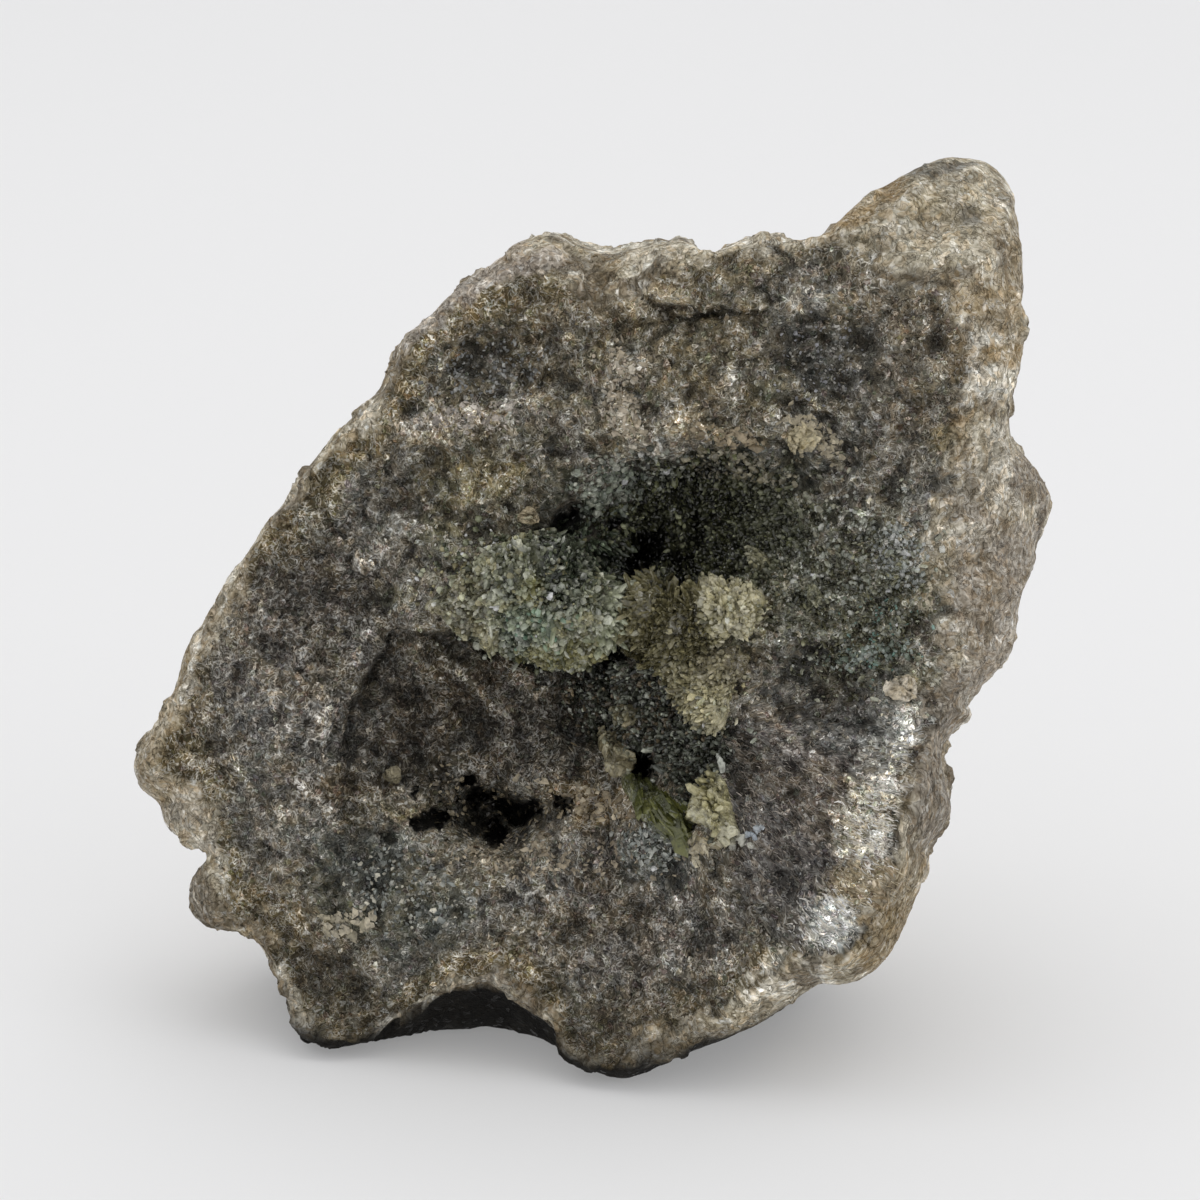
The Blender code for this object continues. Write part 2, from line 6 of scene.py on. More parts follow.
import bpy
import numpy as np
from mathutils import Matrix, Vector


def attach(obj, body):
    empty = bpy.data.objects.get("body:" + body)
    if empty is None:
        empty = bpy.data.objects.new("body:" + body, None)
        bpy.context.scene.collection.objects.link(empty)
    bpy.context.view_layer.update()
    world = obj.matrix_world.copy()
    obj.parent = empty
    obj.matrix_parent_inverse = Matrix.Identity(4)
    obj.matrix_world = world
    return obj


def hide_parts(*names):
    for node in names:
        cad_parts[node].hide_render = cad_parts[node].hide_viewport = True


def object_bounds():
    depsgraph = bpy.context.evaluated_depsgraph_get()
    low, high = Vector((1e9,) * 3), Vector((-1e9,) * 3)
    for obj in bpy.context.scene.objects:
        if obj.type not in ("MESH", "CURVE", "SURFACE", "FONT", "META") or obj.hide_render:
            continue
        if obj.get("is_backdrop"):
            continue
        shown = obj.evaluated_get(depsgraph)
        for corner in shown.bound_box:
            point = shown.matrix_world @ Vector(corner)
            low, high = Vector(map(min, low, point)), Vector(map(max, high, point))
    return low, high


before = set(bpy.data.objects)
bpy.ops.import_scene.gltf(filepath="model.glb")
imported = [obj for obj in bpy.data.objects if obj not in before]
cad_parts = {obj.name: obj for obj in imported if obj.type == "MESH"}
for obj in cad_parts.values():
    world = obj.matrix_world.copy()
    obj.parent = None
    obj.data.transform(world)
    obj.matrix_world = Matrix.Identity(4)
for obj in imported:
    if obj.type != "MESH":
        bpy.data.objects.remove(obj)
cad_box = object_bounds()

MM = 0.001

# How the lump stands before the viewer, in degrees and millimetres
SIGHT_DOWN_DEG = 20.0
VIEW_DISTANCE = 500.0
VIEW_WIDTH = 120.0
SENSOR_WIDTH = 36.0
SET_DOWN = np.array([1.2, -14.8, 49.4])

# The broken face's turn away from the viewer, and how deep the lump is behind the sight plane
FACE_YAW_DEG = 14.0
FACE_PITCH_DEG = 8.0
FACE_MIDDLE = np.array([0.0, -2.0])
BACK_DEPTH = 42.0

# Shares of the way from the face's middle to the back's: where the rim lies, and where the skin is widest.
# The band between them is at least so many millimetres wide.
RIM_SHARE = 0.42
SKIN_SHARE = 0.54
LEAST_BAND = 0.35

# The square grid on which the broken face is worked out once, in millimetres
MAP_STEP = 0.16
MAP_X = np.arange(-47.0, 47.5, MAP_STEP)
MAP_Z = np.arange(-49.5, 45.5, MAP_STEP)

# Rings of the lump's grid over the face, the rim's band and the back, points in each ring, and how strongly
# the back's rings crowd at its ends
FACE_RINGS, BAND_RINGS, BACK_RINGS, ROUND = 200, 30, 60, 800
CROWDING = 2.6

# The widest line of the skin and the rim of the broken face, as the viewer sees them
SKIN_OUTLINE = [
    (36.5, 44.1), (38.5, 43.7), (40.2, 42.4), (41.2, 40.3), (41.8, 36.5), (42.3, 31.5), (42.1, 29.8),
    (42.7, 27.5), (41.5, 22.5), (41.0, 19.5), (41.2, 16.2), (43.4, 13.1), (44.7, 11.1), (45.0, 9.7),
    (43.6, 5.5), (43.5, 3.8), (42.0, 0.2), (41.3, -3.8), (40.5, -6.0), (36.6, -10.3), (36.8, -11.6),
    (34.1, -14.8), (34.9, -20.5), (34.4, -22.2), (32.2, -25.1), (32.4, -26.7), (30.5, -32.0), (28.2, -36.1),
    (25.0, -38.1), (21.5, -38.5), (15.7, -42.4), (8.8, -45.2), (4.0, -47.5), (2.2, -47.9), (-1.2, -46.9),
    (-3.2, -45.8), (-4.7, -42.6), (-8.3, -39.8), (-9.5, -38.7), (-11.8, -38.1), (-16.8, -39.5),
    (-20.8, -42.0), (-22.8, -43.8), (-25.8, -44.7), (-28.4, -44.3), (-30.4, -42.9), (-31.4, -39.5),
    (-33.8, -34.4), (-36.2, -33.0), (-39.4, -32.4), (-40.9, -30.4), (-40.7, -28.6), (-39.1, -25.3),
    (-43.0, -23.0), (-44.0, -20.3), (-46.0, -18.2), (-46.2, -15.5), (-42.7, -10.0), (-41.4, -4.9),
    (-38.8, -1.3), (-34.8, 5.4), (-31.7, 9.5), (-30.9, 10.6), (-26.5, 16.3), (-22.5, 20.4), (-19.7, 25.2),
    (-14.5, 30.6), (-9.7, 34.1), (-8.0, 35.8), (-4.7, 36.6), (-1.5, 35.3), (2.5, 35.0), (8.0, 35.7),
    (10.6, 34.5), (14.0, 35.8), (17.0, 36.2), (21.8, 36.2), (27.2, 40.5), (33.5, 43.8),
]

RIM_OUTLINE = [
    (25.0, 35.6), (29.3, 31.3), (33.5, 31.7), (35.2, 31.0), (35.9, 29.0), (36.7, 22.5), (36.5, 19.5),
    (34.5, 13.8), (33.8, 11.0), (32.6, 4.5), (34.1, -1.8), (33.7, -9.0), (34.0, -11.2), (32.2, -16.0),
    (30.0, -21.5), (29.3, -26.8), (27.2, -31.5), (24.5, -35.5), (18.5, -36.8), (14.2, -39.0), (13.3, -40.6),
    (8.5, -42.9), (3.6, -44.7), (1.1, -46.6), (-2.8, -45.3), (-4.3, -42.2), (-9.5, -37.5), (-11.5, -37.4),
    (-16.2, -39.0), (-22.6, -43.3), (-25.5, -44.2), (-30.0, -42.2), (-31.8, -37.5), (-34.5, -33.2),
    (-37.8, -31.2), (-38.4, -25.0), (-40.0, -18.6), (-43.4, -16.8), (-43.2, -14.5), (-40.8, -7.8),
    (-37.3, -0.5), (-32.8, 7.8), (-29.7, 9.5), (-27.5, 13.5), (-21.4, 20.8), (-17.2, 27.2), (-12.5, 30.5),
    (-5.2, 32.8), (-1.0, 29.8), (4.0, 30.7), (6.0, 33.2), (11.2, 34.0), (16.5, 35.7), (22.8, 36.0),
]

# Hollows and lumps of the broken face: middle, half sizes, turn in degrees, depth (a lump's is negative) and
# how square the sides are
FACE_FORMS = {
    "crystal hollow": ((8.6, 7.6), (9.6, 6.2), 12, 8.5, 3.0),
    "throat of the hollow": ((4.2, 3.4), (1.7, 4.6), -22, 7.0, 2.5),
    "second throat": ((9.6, 5.2), (1.8, 3.4), -12, 3.5, 2.0),
    "slit left of the hollow": ((-2.4, 7.6), (4.6, 1.5), 24, 3.0, 2.0),
    "pale shelf": ((-6.0, 0.6), (8.5, 5.5), -18, -2.8, 2.5),
    "crystal ridge": ((8.4, -4.8), (7.2, 3.6), -52, -2.4, 2.5),
    "tuft on the ridge": ((14.2, -0.8), (2.6, 2.2), 0, -2.0, 2.0),
    "green field": ((25.5, -2.0), (8.0, 8.5), 0, 1.6, 2.5),
    "lower basin": ((-8.5, -15.0), (16.5, 9.5), -6, 4.6, 2.5),
    "basin's right arm": ((4.0, -10.5), (9.5, 7.5), -35, 4.6, 3.0),
    "round hole": ((4.1, -16.5), (1.5, 1.6), 0, 7.0, 4.0),
    "pit left of the hole": ((0.2, -14.0), (2.0, 1.4), 40, 1.5, 2.0),
    "black pit": ((-11.2, -20.8), (3.4, 2.0), -25, 5.5, 2.5),
    "black pit's tail": ((-6.4, -21.4), (3.2, 1.4), 8, 3.2, 2.0),
    "black pit's left arm": ((-15.6, -20.6), (2.6, 1.4), 10, 2.4, 2.0),
    "rosette's boss": ((6.8, -21.0), (3.2, 2.6), -40, -1.6, 2.0),
    "dark dent, upper left": ((-10.0, 23.6), (6.8, 2.8), 10, 1.7, 2.5),
    "swell under it": ((-12.0, 17.2), (7.5, 2.6), 20, -1.2, 2.0),
    "dark dent, upper right": ((22.4, 24.6), (4.2, 5.4), 30, 1.8, 2.5),
    "swell of pale lumps": ((20.6, 17.0), (4.2, 2.0), -30, -1.3, 2.0),
    "rosy lump": ((2.2, 18.8), (1.8, 3.2), 10, -1.6, 2.5),
    "brow": ((10.5, 32.8), (7.0, 2.6), 4, -1.6, 4.0),
    "left cheek": ((-30.0, -10.0), (8.0, 12.0), 12, -1.2, 2.5),
    "cleft beside the cheek": ((-25.0, 0.5), (7.0, 3.0), -25, 1.2, 2.0),
    "right cheek": ((19.0, -22.0), (11.0, 9.0), -40, -1.8, 2.5),
    "white vein": ((24.5, -29.5), (6.5, 2.4), 58, -0.8, 2.0),
    "slope under the pits": ((-17.0, -32.0), (12.0, 5.0), -10, -1.2, 2.5),
    "middle foot's front": ((2.0, -39.0), (6.0, 5.0), 0, -1.2, 2.5),
}

# Depth of the band from the rim to the skin's widest line: a least depth, and more for each mm of its width
BAND_DEPTH, BAND_SLOPE = 3.4, 1.15

# Ledges of the broken face: the line of the lip from left to right, and the drop below it at each point
LOWER_LEDGE = [
    (-27.0, -17.0, 0.0), (-25.5, -10.0, 1.6), (-22.5, -6.0, 2.0), (-20.5, -3.0, 1.4), (-17.0, -2.0, 1.8),
    (-13.5, -2.8, 3.6), (-11.0, -4.3, 5.2), (-4.0, -6.5, 5.2), (-0.5, -5.6, 4.6), (1.6, -3.6, 3.6),
    (2.6, -1.0, 0.0),
]
BROW_LEDGE = [(3.5, 31.0, 0.0), (5.5, 29.8, 1.6), (8.5, 28.6, 2.0), (12.0, 28.7, 1.6), (17.5, 28.6, 0.0)]
LOWER_FADE, BROW_FADE = 9.0, 2.5

# The underside arches over the table between three feet, each by its middle and half sizes. Behind the front
# arch it sags to the table, inside ramps that go from nothing to full over these stretches of y and x.
FEET = [((-25.0, 0.5), (7.0, 6.0)), ((4.0, -10.0), (7.0, 5.5)), ((13.0, 12.5), (9.0, 6.5))]
ARCH_HEIGHT = 7.0
ARCH_BACK_HEIGHT = 0.4
FOOT_DROP = 3.5
ARCH_SAG = 5.5
SAG_RAMPS_Y = ((-18.0, -8.5), (4.0, -6.0))
SAG_RAMPS_X = ((-25.0, -18.0), (6.0, -2.0))
SAG_CLEARANCE = 0.3


def hashed(cells, seed):
    """A repeatable number from 0 to 1 for each whole-numbered cell."""
    mixed = cells[..., 0] * 374761393 + cells[..., 1] * 668265263 + cells[..., 2] * 2147483629
    mixed = (mixed + seed * 1274126177) & 0xFFFFFFFF
    mixed = ((mixed ^ (mixed >> 13)) * 1274126177) & 0xFFFFFFFF
    return ((mixed ^ (mixed >> 16)) & 0xFFFFFF) / float(0x1000000)


def soft_noise(points, size, seed):
    """Random values on a lattice of the given cell size, blended smoothly between its corners, -1 to 1. Flat
    points lie in one layer of the lattice and need only its own corners."""
    scaled = points / size
    cell = np.floor(scaled).astype(np.int64)
    share = scaled - cell
    share = share * share * share * (share * (share * 6 - 15) + 10)
    near = [np.stack([1 - share[..., axis], share[..., axis]]) for axis in range(3)]
    total = 0.0
    for i, j, k in np.ndindex(2, 2, 2 if share[..., 2].any() else 1):
        total = total + near[0][i] * near[1][j] * near[2][k] * hashed(cell + np.array([i, j, k]), seed)
    return 2 * total - 1


def fractal(points, size, seed, octaves=3, gain=0.5):
    """Soft noise summed over octaves, each at half the size and gain times the height of the last."""
    total, height = 0.0, 1.0
    for octave in range(octaves):
        total = total + height * soft_noise(points, size / 2**octave, seed + octave)
        height *= gain
    return total


def smoothstep(low, high, value):
    """0 below low and 1 above high, or the other way round where high is the lower, smooth between them."""
    share = np.clip((value - low) / (high - low), 0, 1)
    return share * share * (3 - 2 * share)


def closed_curve(points, steps=12):
    """A Catmull-Rom curve round the points, as dense points."""
    p1 = np.array(points)
    p0, p2, p3 = np.roll(p1, 1, 0), np.roll(p1, -1, 0), np.roll(p1, -2, 0)
    t = np.linspace(0, 1, steps, endpoint=False)[None, :, None]
    p0, p1, p2, p3 = (p[:, None, :] for p in (p0, p1, p2, p3))
    curve = p1 + 0.5 * t * (p2 - p0 + t * (2 * p0 - 5 * p1 + 4 * p2 - p3 + t * (3 * (p1 - p2) + p3 - p0)))
    return curve.reshape(-1, 2)


def reach(outline, bearing):
    """How far the outline is from the face's middle, at each bearing."""
    offset = closed_curve(outline) - FACE_MIDDLE
    angle = np.arctan2(offset[:, 1], offset[:, 0])
    order = np.argsort(angle)
    return np.interp(bearing, angle[order], np.hypot(*offset.T)[order], period=2 * math.pi)


def rim_reach(bearing):
    """How far the rim of the broken face is from its middle, at each bearing."""
    return np.minimum(reach(RIM_OUTLINE, bearing), reach(SKIN_OUTLINE, bearing) - LEAST_BAND)


def out_in_ellipse(x, z, middle, half_sizes, turn_deg):
    """How far out each point lies in a turned ellipse: 0 at its middle and 1 on its edge."""
    turn = math.radians(turn_deg)
    dx, dz = x - middle[0], z - middle[1]
    along = (dx * math.cos(turn) + dz * math.sin(turn)) / half_sizes[0]
    across = (dz * math.cos(turn) - dx * math.sin(turn)) / half_sizes[1]
    return np.hypot(along, across)


def from_ellipse(middle, along, across, turn_deg):
    """Places at the given distances along and across a turned ellipse's axes."""
    turn = math.radians(turn_deg)
    x = middle[0] + along * math.cos(turn) - across * math.sin(turn)
    return x, middle[1] + along * math.sin(turn) + across * math.cos(turn)


def dome(x, z, middle, half_sizes, turn_deg, power):
    """1 at the middle of an ellipse, falling to 0 outside it: exp of minus the elliptical distance to the
    given power."""
    return np.exp(-(out_in_ellipse(x, z, middle, half_sizes, turn_deg) ** power))


def ledge_drop(x, z, ledge, softness, fade):
    """Extra depth below a ledge's lip: the drop at that x, dying away with the distance below the lip."""
    xs, zs, drops = np.array(ledge).T
    below = np.interp(x, xs, zs) - z
    fall = np.exp(-np.clip(below, 0, None) / fade)
    return np.interp(x, xs, drops) * smoothstep(-softness, softness, below) * fall


def on_plane(x, z):
    """Places of the face as points in one layer of the noise lattice."""
    return np.stack([x, z, np.zeros_like(x)], axis=-1)


def face_depth(x, z):
    """Depth of the broken face behind the sight plane: a turned plane, the named forms, the drops of the
    ledges and the rough fracture. Places are swayed a little first, so that no form has an even edge."""
    flat = on_plane(x, z)
    wx = x + 1.1 * fractal(flat, 6.0, 11)
    wz = z + 1.1 * fractal(flat, 6.0, 21)
    depth = -x * math.tan(math.radians(FACE_YAW_DEG)) - z * math.tan(math.radians(FACE_PITCH_DEG))
    for middle, half_sizes, turn_deg, sink, power in FACE_FORMS.values():
        depth = depth + sink * dome(wx, wz, middle, half_sizes, turn_deg, power)
    depth = depth + ledge_drop(wx, wz, LOWER_LEDGE, 0.5, LOWER_FADE)
    depth = depth + ledge_drop(wx, wz, BROW_LEDGE, 0.3, BROW_FADE)
    return depth + 0.9 * fractal(flat, 11.0, 31) + 0.4 * fractal(flat, 2.6, 41)


# Small steps of the broken face: the path of the lip, the drop on its right hand, and how far the drop fades
SCARPS = {
    "left edge of the brown slope": (
        [(-26.7, -17.5), (-27.0, -14.0), (-26.5, -10.0), (-24.8, -7.2), (-22.0, -5.0), (-19.5, -1.2)],
        0.5, 5.0,
    ),
    "crest left of the shelf": (
        [(-27.0, 9.5), (-26.0, 6.5), (-23.5, 3.0), (-20.0, 0.5), (-16.0, -1.2)], 1.0, 4.0,
    ),
    "lip over the upper left dent": ([(-17.5, 21.5), (-14.0, 25.5), (-9.0, 27.5), (-5.2, 26.5)], 0.9, 2.6),
    "tan crest over the hollow": (
        [(9.0, 18.5), (12.0, 16.0), (16.0, 17.0), (19.0, 16.0), (23.0, 13.0)], 1.1, 3.0,
    ),
    "step above the pale lumps": ([(17.0, 20.5), (20.5, 20.0), (24.5, 17.5), (26.0, 14.0)], 0.7, 2.0),
    "edge of the rosy lump": ([(0.2, 24.0), (-0.6, 20.0), (0.2, 16.0), (2.0, 14.2)], -0.8, 1.6),
    "step right of the lower hole": ([(13.5, -6.5), (13.2, -11.0), (13.6, -16.0), (12.0, -20.0)], -0.8, 3.0),
    "step through the fan": ([(16.0, -11.5), (19.0, -14.0), (22.5, -17.0), (26.0, -19.0)], 0.6, 2.2),
    "rim of the right rind": ([(33.2, 4.0), (33.8, -1.0), (34.4, -6.0), (34.0, -9.5)], -0.5, 1.5),
    "edge of the lower basin": (
        [
            (-30.5, -17.5), (-27.0, -21.5), (-21.0, -21.0), (-16.0, -23.5), (-9.0, -24.8), (-3.0, -23.0),
            (2.0, -24.0),
        ],
        -0.9, 3.0,
    ),
}

SCARP_REACH = 12.0  # how far from its path a scarp still counts, in millimetres

# Cracks: path, half width and depth
CRACKS = {
    "under the brow": ([(3.4, 31.2), (5.0, 29.8), (8.8, 28.4), (12.0, 28.4), (16.2, 28.8)], 0.3, 0.7),
    "right of the brow": ([(17.4, 35.2), (16.6, 32.0), (17.0, 29.4), (15.0, 27.5)], 0.26, 0.5),
    "down from the slit": ([(-4.6, 8.4), (-1.8, 9.2), (1.0, 10.8)], 0.35, 1.5),
    "over the left foot": ([(-36.0, -24.5), (-33.0, -23.8), (-31.2, -26.0)], 0.3, 0.7),
}

# Pits with ragged sides: middle, half sizes, turn in degrees, raggedness and depth
PITS = {
    "main black pit": ((-12.8, -19.8), (2.0, 1.2), -10, 0.7, 3.0),
    "its right arm": ((-8.8, -20.9), (2.1, 1.0), -12, 0.7, 2.6),
    "pits to its left": ((-16.6, -22.0), (2.2, 0.7), 12, 0.9, 2.0),
    "pit under it": ((-10.2, -23.4), (0.9, 1.4), 5, 0.6, 1.8),
    "pit to its right": ((-4.2, -20.2), (1.0, 0.6), -20, 0.7, 1.6),
    "pit at the slope's foot": ((-18.4, -19.2), (0.8, 0.5), 20, 0.8, 1.0),
    "square hole": ((4.1, -16.5), (1.35, 1.45), 8, 0.18, 3.0),
    "pit below the hole": ((9.0, -22.2), (1.0, 0.8), 20, 0.4, 1.6),
    "slit's end": ((-4.4, 7.4), (1.4, 0.5), 35, 0.9, 1.2),
    "throat": ((3.2, 3.6), (1.1, 3.0), -24, 0.4, 2.0),
    "throat's mouth": ((1.4, -5.4), (2.2, 0.9), 20, 0.5, 1.8),
    "pit on the vein's edge": ((26.7, -34.2), (0.7, 0.9), 20, 0.3, 0.8),
}


def near_cells(points, size, flat):
    """Each point's lattice cell and those round it, with the way from each cell's corner to the point. Flat
    points keep to one layer of cells."""
    scaled = points / size
    cell = np.floor(scaled).astype(np.int64)
    back = np.array([1, 1, 0 if flat else 1])
    for step in np.ndindex(3, 3, 1 if flat else 3):
        near = cell + np.array(step) - back
        yield near, scaled - near


def scattered(cells, seed, flat):
    """A centre somewhere in each cell."""
    deep = np.zeros(cells.shape[:-1]) if flat else hashed(cells, seed + 2)
    return np.stack([hashed(cells, seed), hashed(cells, seed + 1), deep], axis=-1)


def facets(points, size, seed, tilt=0.5, flat=False):
    """Broken plates: each point takes the height of its nearest scattered centre, -1 to 1, plus that plate's
    own slope times the way from the centre."""
    best = np.full(points.shape[:-1], 9.0)
    height = np.zeros(points.shape[:-1])
    for near, offset in near_cells(points, size, flat):
        away = offset - scattered(near, seed, flat)
        distance = np.linalg.norm(away, axis=-1)
        slope = np.stack([hashed(near, seed + 3 + k) for k in range(3)], axis=-1) - 0.5
        plate = 2 * hashed(near, seed + 7) - 1 + 4 * tilt * (slope * away).sum(axis=-1)
        height = np.where(distance < best, plate, height)
        best = np.minimum(best, distance)
    return height


def lumps(points, size, seed, flat=False):
    """Rounded lumps grown against each other: the highest of half balls about scattered centres, 0 to 1, and
    a number from 0 to 1 for the lump that each point is on."""
    best = np.zeros(points.shape[:-1])
    own = np.zeros(points.shape[:-1])
    for near, offset in near_cells(points, size, flat):
        radius = 0.6 + 0.4 * hashed(near, seed + 5)
        distance = np.linalg.norm(offset - scattered(near, seed, flat), axis=-1)
        ball = radius * np.sqrt(np.clip(1 - (distance / radius) ** 2, 0, 1))
        own = np.where(ball > best, hashed(near, seed + 6), own)
        best = np.maximum(best, ball)
    return best, own


def terraces(field, count):
    """A smooth field turned into treads with steep risers, count to each unit of height."""
    tread = np.floor(field * count)
    return (tread + smoothstep(0.72, 1.0, field * count - tread)) / count


def from_path(x, z, path):
    """Distance from a path, positive on its right hand, and the share of the path at the nearest point."""
    path = np.array(path)
    nearest = np.full(x.shape, 1e9)
    side, share = np.zeros(x.shape), np.zeros(x.shape)
    for k, (start, end) in enumerate(zip(path[:-1], path[1:])):
        way = end - start
        dx, dz = x - start[0], z - start[1]
        along = np.clip((dx * way[0] + dz * way[1]) / (way @ way), 0, 1)
        distance = np.hypot(dx - along * way[0], dz - along * way[1])
        hand = np.where(dx * way[1] - dz * way[0] > 0, 1.0, -1.0)
        closer = distance < nearest
        side = np.where(closer, hand * distance, side)
        share = np.where(closer, (k + along) / (len(path) - 1), share)
        nearest = np.minimum(nearest, distance)
    return side, share


def taper(share, power, end=0.02):
    """1 at the middle of a path, narrowing to its ends: the sine of the share of the path, to a power."""
    return np.sin(math.pi * np.clip(share, end, 1 - end)) ** power


def rags(x, z):
    """Three ragged fields that break up the edges of pits and stains."""
    flat = on_plane(x, z)
    return [fractal(flat, 4.2, 600 + 10 * k, 4, 0.62) for k in range(3)]


def spot(x, z, rag, middle, half_sizes, turn_deg, raggedness, soft):
    """1 inside an ellipse and 0 outside it, with a ragged edge: the elliptical distance plus the rag."""
    out = out_in_ellipse(x, z, middle, half_sizes, turn_deg)
    return smoothstep(1 + soft, 1 - soft, out + raggedness * rag)


def pit_shares(x, z):
    """Each pit's share at each place, finely ragged, with its depth."""
    flat = on_plane(x, z)
    rag = [fractal(flat, 1.6, 640 + 10 * k, 3, 0.7) for k in range(3)]
    for k, (middle, half_sizes, turn_deg, raggedness, sink) in enumerate(PITS.values()):
        yield spot(x, z, rag[k % 3], middle, half_sizes, turn_deg, raggedness, 0.2), sink


def fracture(x, z):
    """Fine relief of the broken face, out of it: curling treads, tilted plates and a fine roughness."""
    flat = on_plane(x, z)
    relief = 0.8 * terraces(fractal(flat, 7.5, 150, 4, 0.6), 4)
    relief = relief + 0.44 * terraces(fractal(flat, 2.4, 160, 3, 0.6), 3)
    relief = relief + 0.16 * facets(flat, 2.1, 110, flat=True)
    relief = relief + 0.10 * facets(flat, 0.95, 120, flat=True)
    return relief + 0.09 * fractal(flat, 0.9, 140, 2)


def broken_face(x, z):
    """Depth of the broken face with its scarps, cracks, pits and fine relief, rolling over at the rim."""
    dx, dz = x - FACE_MIDDLE[0], z - FACE_MIDDLE[1]
    out = np.clip(np.hypot(dx, dz) / rim_reach(np.arctan2(dz, dx)), 0, 1)
    flat = on_plane(x, z)
    wx = x + 0.7 * fractal(flat, 3.0, 171, 3, 0.6)
    wz = z + 0.7 * fractal(flat, 3.0, 181, 3, 0.6)
    depth = face_depth(x, z)
    for path, drop, fade in SCARPS.values():
        side, share = from_path(wx, wz, path)
        ends = taper(share, 0.6) * np.exp(-np.abs(side) / SCARP_REACH)
        fall = np.exp(-np.clip(side, 0, None) / fade)
        depth = depth + drop * ends * smoothstep(-0.25, 0.25, side) * fall
    for path, half_width, sink in CRACKS.values():
        side, share = from_path(wx, wz, path)
        depth = depth + sink * taper(share, 0.4, 0) * np.exp(-((side / half_width) ** 2))
    for share, sink in pit_shares(x, z):
        depth = depth + sink * share
    return depth + 0.8 * out**14 - fracture(x, z) * (1 - 0.85 * out**16)


def lump_points(bearing, share):
    """Points of the lump in the sight frame. share runs from 0 at the middle of the broken face over the rim
    and the widest line of the skin to 1 at the middle of the back."""
    skin = reach(SKIN_OUTLINE, bearing)
    rim = rim_reach(bearing)
    cos, sin = np.cos(bearing), np.sin(bearing)
    on_face = np.clip(share / RIM_SHARE, 0, 1)
    band = np.clip((share - RIM_SHARE) / (SKIN_SHARE - RIM_SHARE), 0, 1)
    back = np.clip((share - SKIN_SHARE) / (1 - SKIN_SHARE), 0, 1)

    # The broken face, rolling over at its rim
    radius = rim * on_face
    depth = on_map("depth", FACE_MIDDLE[0] + radius * cos, FACE_MIDDLE[1] + radius * sin)

    # A quarter turn over the skin, out to its widest line
    width = skin - rim
    sweep = band * math.pi / 2
    radius = radius + width * np.sin(sweep)
    depth = depth + (BAND_DEPTH + BAND_SLOPE * width) * (1 - np.cos(sweep))

    # The back closes as a superellipse, squarer below so that the lump can stand, and plainer in outline
    power = 2.2 + 3.0 * smoothstep(0.35, 0.95, -sin)
    spans = np.linspace(-0.6, 0.6, 13)
    plain = sum(reach(SKIN_OUTLINE, bearing + span) for span in spans) / len(spans)
    hull = skin + (np.minimum(skin, plain - 0.8) - skin) * smoothstep(0, 0.3, back)
    turn_in = np.cos(back * math.pi / 2) ** (2 / power)
    go_back = np.sin(back * math.pi / 2) ** (2 / power)
    radius = np.where(back > 0, hull * turn_in, radius)
    depth = np.where(back > 0, depth + (BACK_DEPTH - depth) * go_back, depth)

    # Knobs of the weathered skin
    points = np.stack([radius * cos, radius * sin, depth], axis=-1)
    behind = smoothstep(0.0, 0.25, back)
    knobs = behind * (2.4 * fractal(points, 15.0, 51) + 0.8 * fractal(points, 4.6, 61, 2))
    radius = radius + knobs * turn_in
    depth = depth + knobs * go_back * (1 - turn_in)
    return np.stack([FACE_MIDDLE[0] + radius * cos, depth, FACE_MIDDLE[1] + radius * sin], axis=-1)


def stand(points):
    """Sight-frame points, spread along the lines of sight, leaned back and set down on the table."""
    x, y, z = np.moveaxis(points, -1, 0)
    spread = 1 + y / VIEW_DISTANCE
    x, z = x * spread, z * spread
    down = math.radians(SIGHT_DOWN_DEG)
    back = y * math.cos(down) + z * math.sin(down)
    up = z * math.cos(down) - y * math.sin(down)
    return np.stack([x, back, up], -1) + SET_DOWN


def arch_underside(placed, behind, under):
    """Shapes the underside: behind the front arch it sags to just over the table, so that no light comes
    through, and the back part is an arch that comes down to the table at the feet only."""
    x, y, z = np.moveaxis(placed, -1, 0)
    feet = sum(dome(x, y, middle, half_sizes, 0, 2.5) for middle, half_sizes in FEET)
    height = ARCH_HEIGHT + (ARCH_BACK_HEIGHT - ARCH_HEIGHT) * smoothstep(-16.0, -7.5, y)
    arch = height * (1 - 1.45 * feet) + 0.17 * height * fractal(placed, 7.0, 71)
    low = smoothstep(20, 5, z)
    sway = y + 1.6 * fractal(placed, 6.0, 75, 2)
    (front, back), (left, right) = SAG_RAMPS_Y, SAG_RAMPS_X
    sag = smoothstep(*front, sway) * smoothstep(*back, y) * smoothstep(*left, x) * smoothstep(*right, x)
    z = np.where(under, np.maximum(z - ARCH_SAG * sag * low, np.minimum(z, SAG_CLEARANCE)), z)
    shaped = np.maximum(z - FOOT_DROP * feet * low, arch)
    behind = behind * (1 - sag)
    return np.stack([x, y, np.maximum(z + (shaped - z) * behind, 0)], axis=-1)


def grid_normals(points):
    """Unit normals of a grid that closes round its second direction, facing out of the lump."""
    along = np.gradient(points, axis=0)
    round_ = np.roll(points, -1, 1) - np.roll(points, 1, 1)
    normal = np.cross(round_, along)
    return normal / np.maximum(np.linalg.norm(normal, axis=-1, keepdims=True), 1e-9)


def linear(hex_colour):
    """Linear red, green and blue of an sRGB hex colour."""
    part = np.array([int(hex_colour[k : k + 2], 16) / 255 for k in (1, 3, 5)])
    return np.where(part <= 0.04045, part / 12.92, ((part + 0.055) / 1.055) ** 2.4)


def rgba(hex_colour):
    """An sRGB hex colour as a socket takes it: linear, with full cover."""
    return (*linear(hex_colour), 1.0)


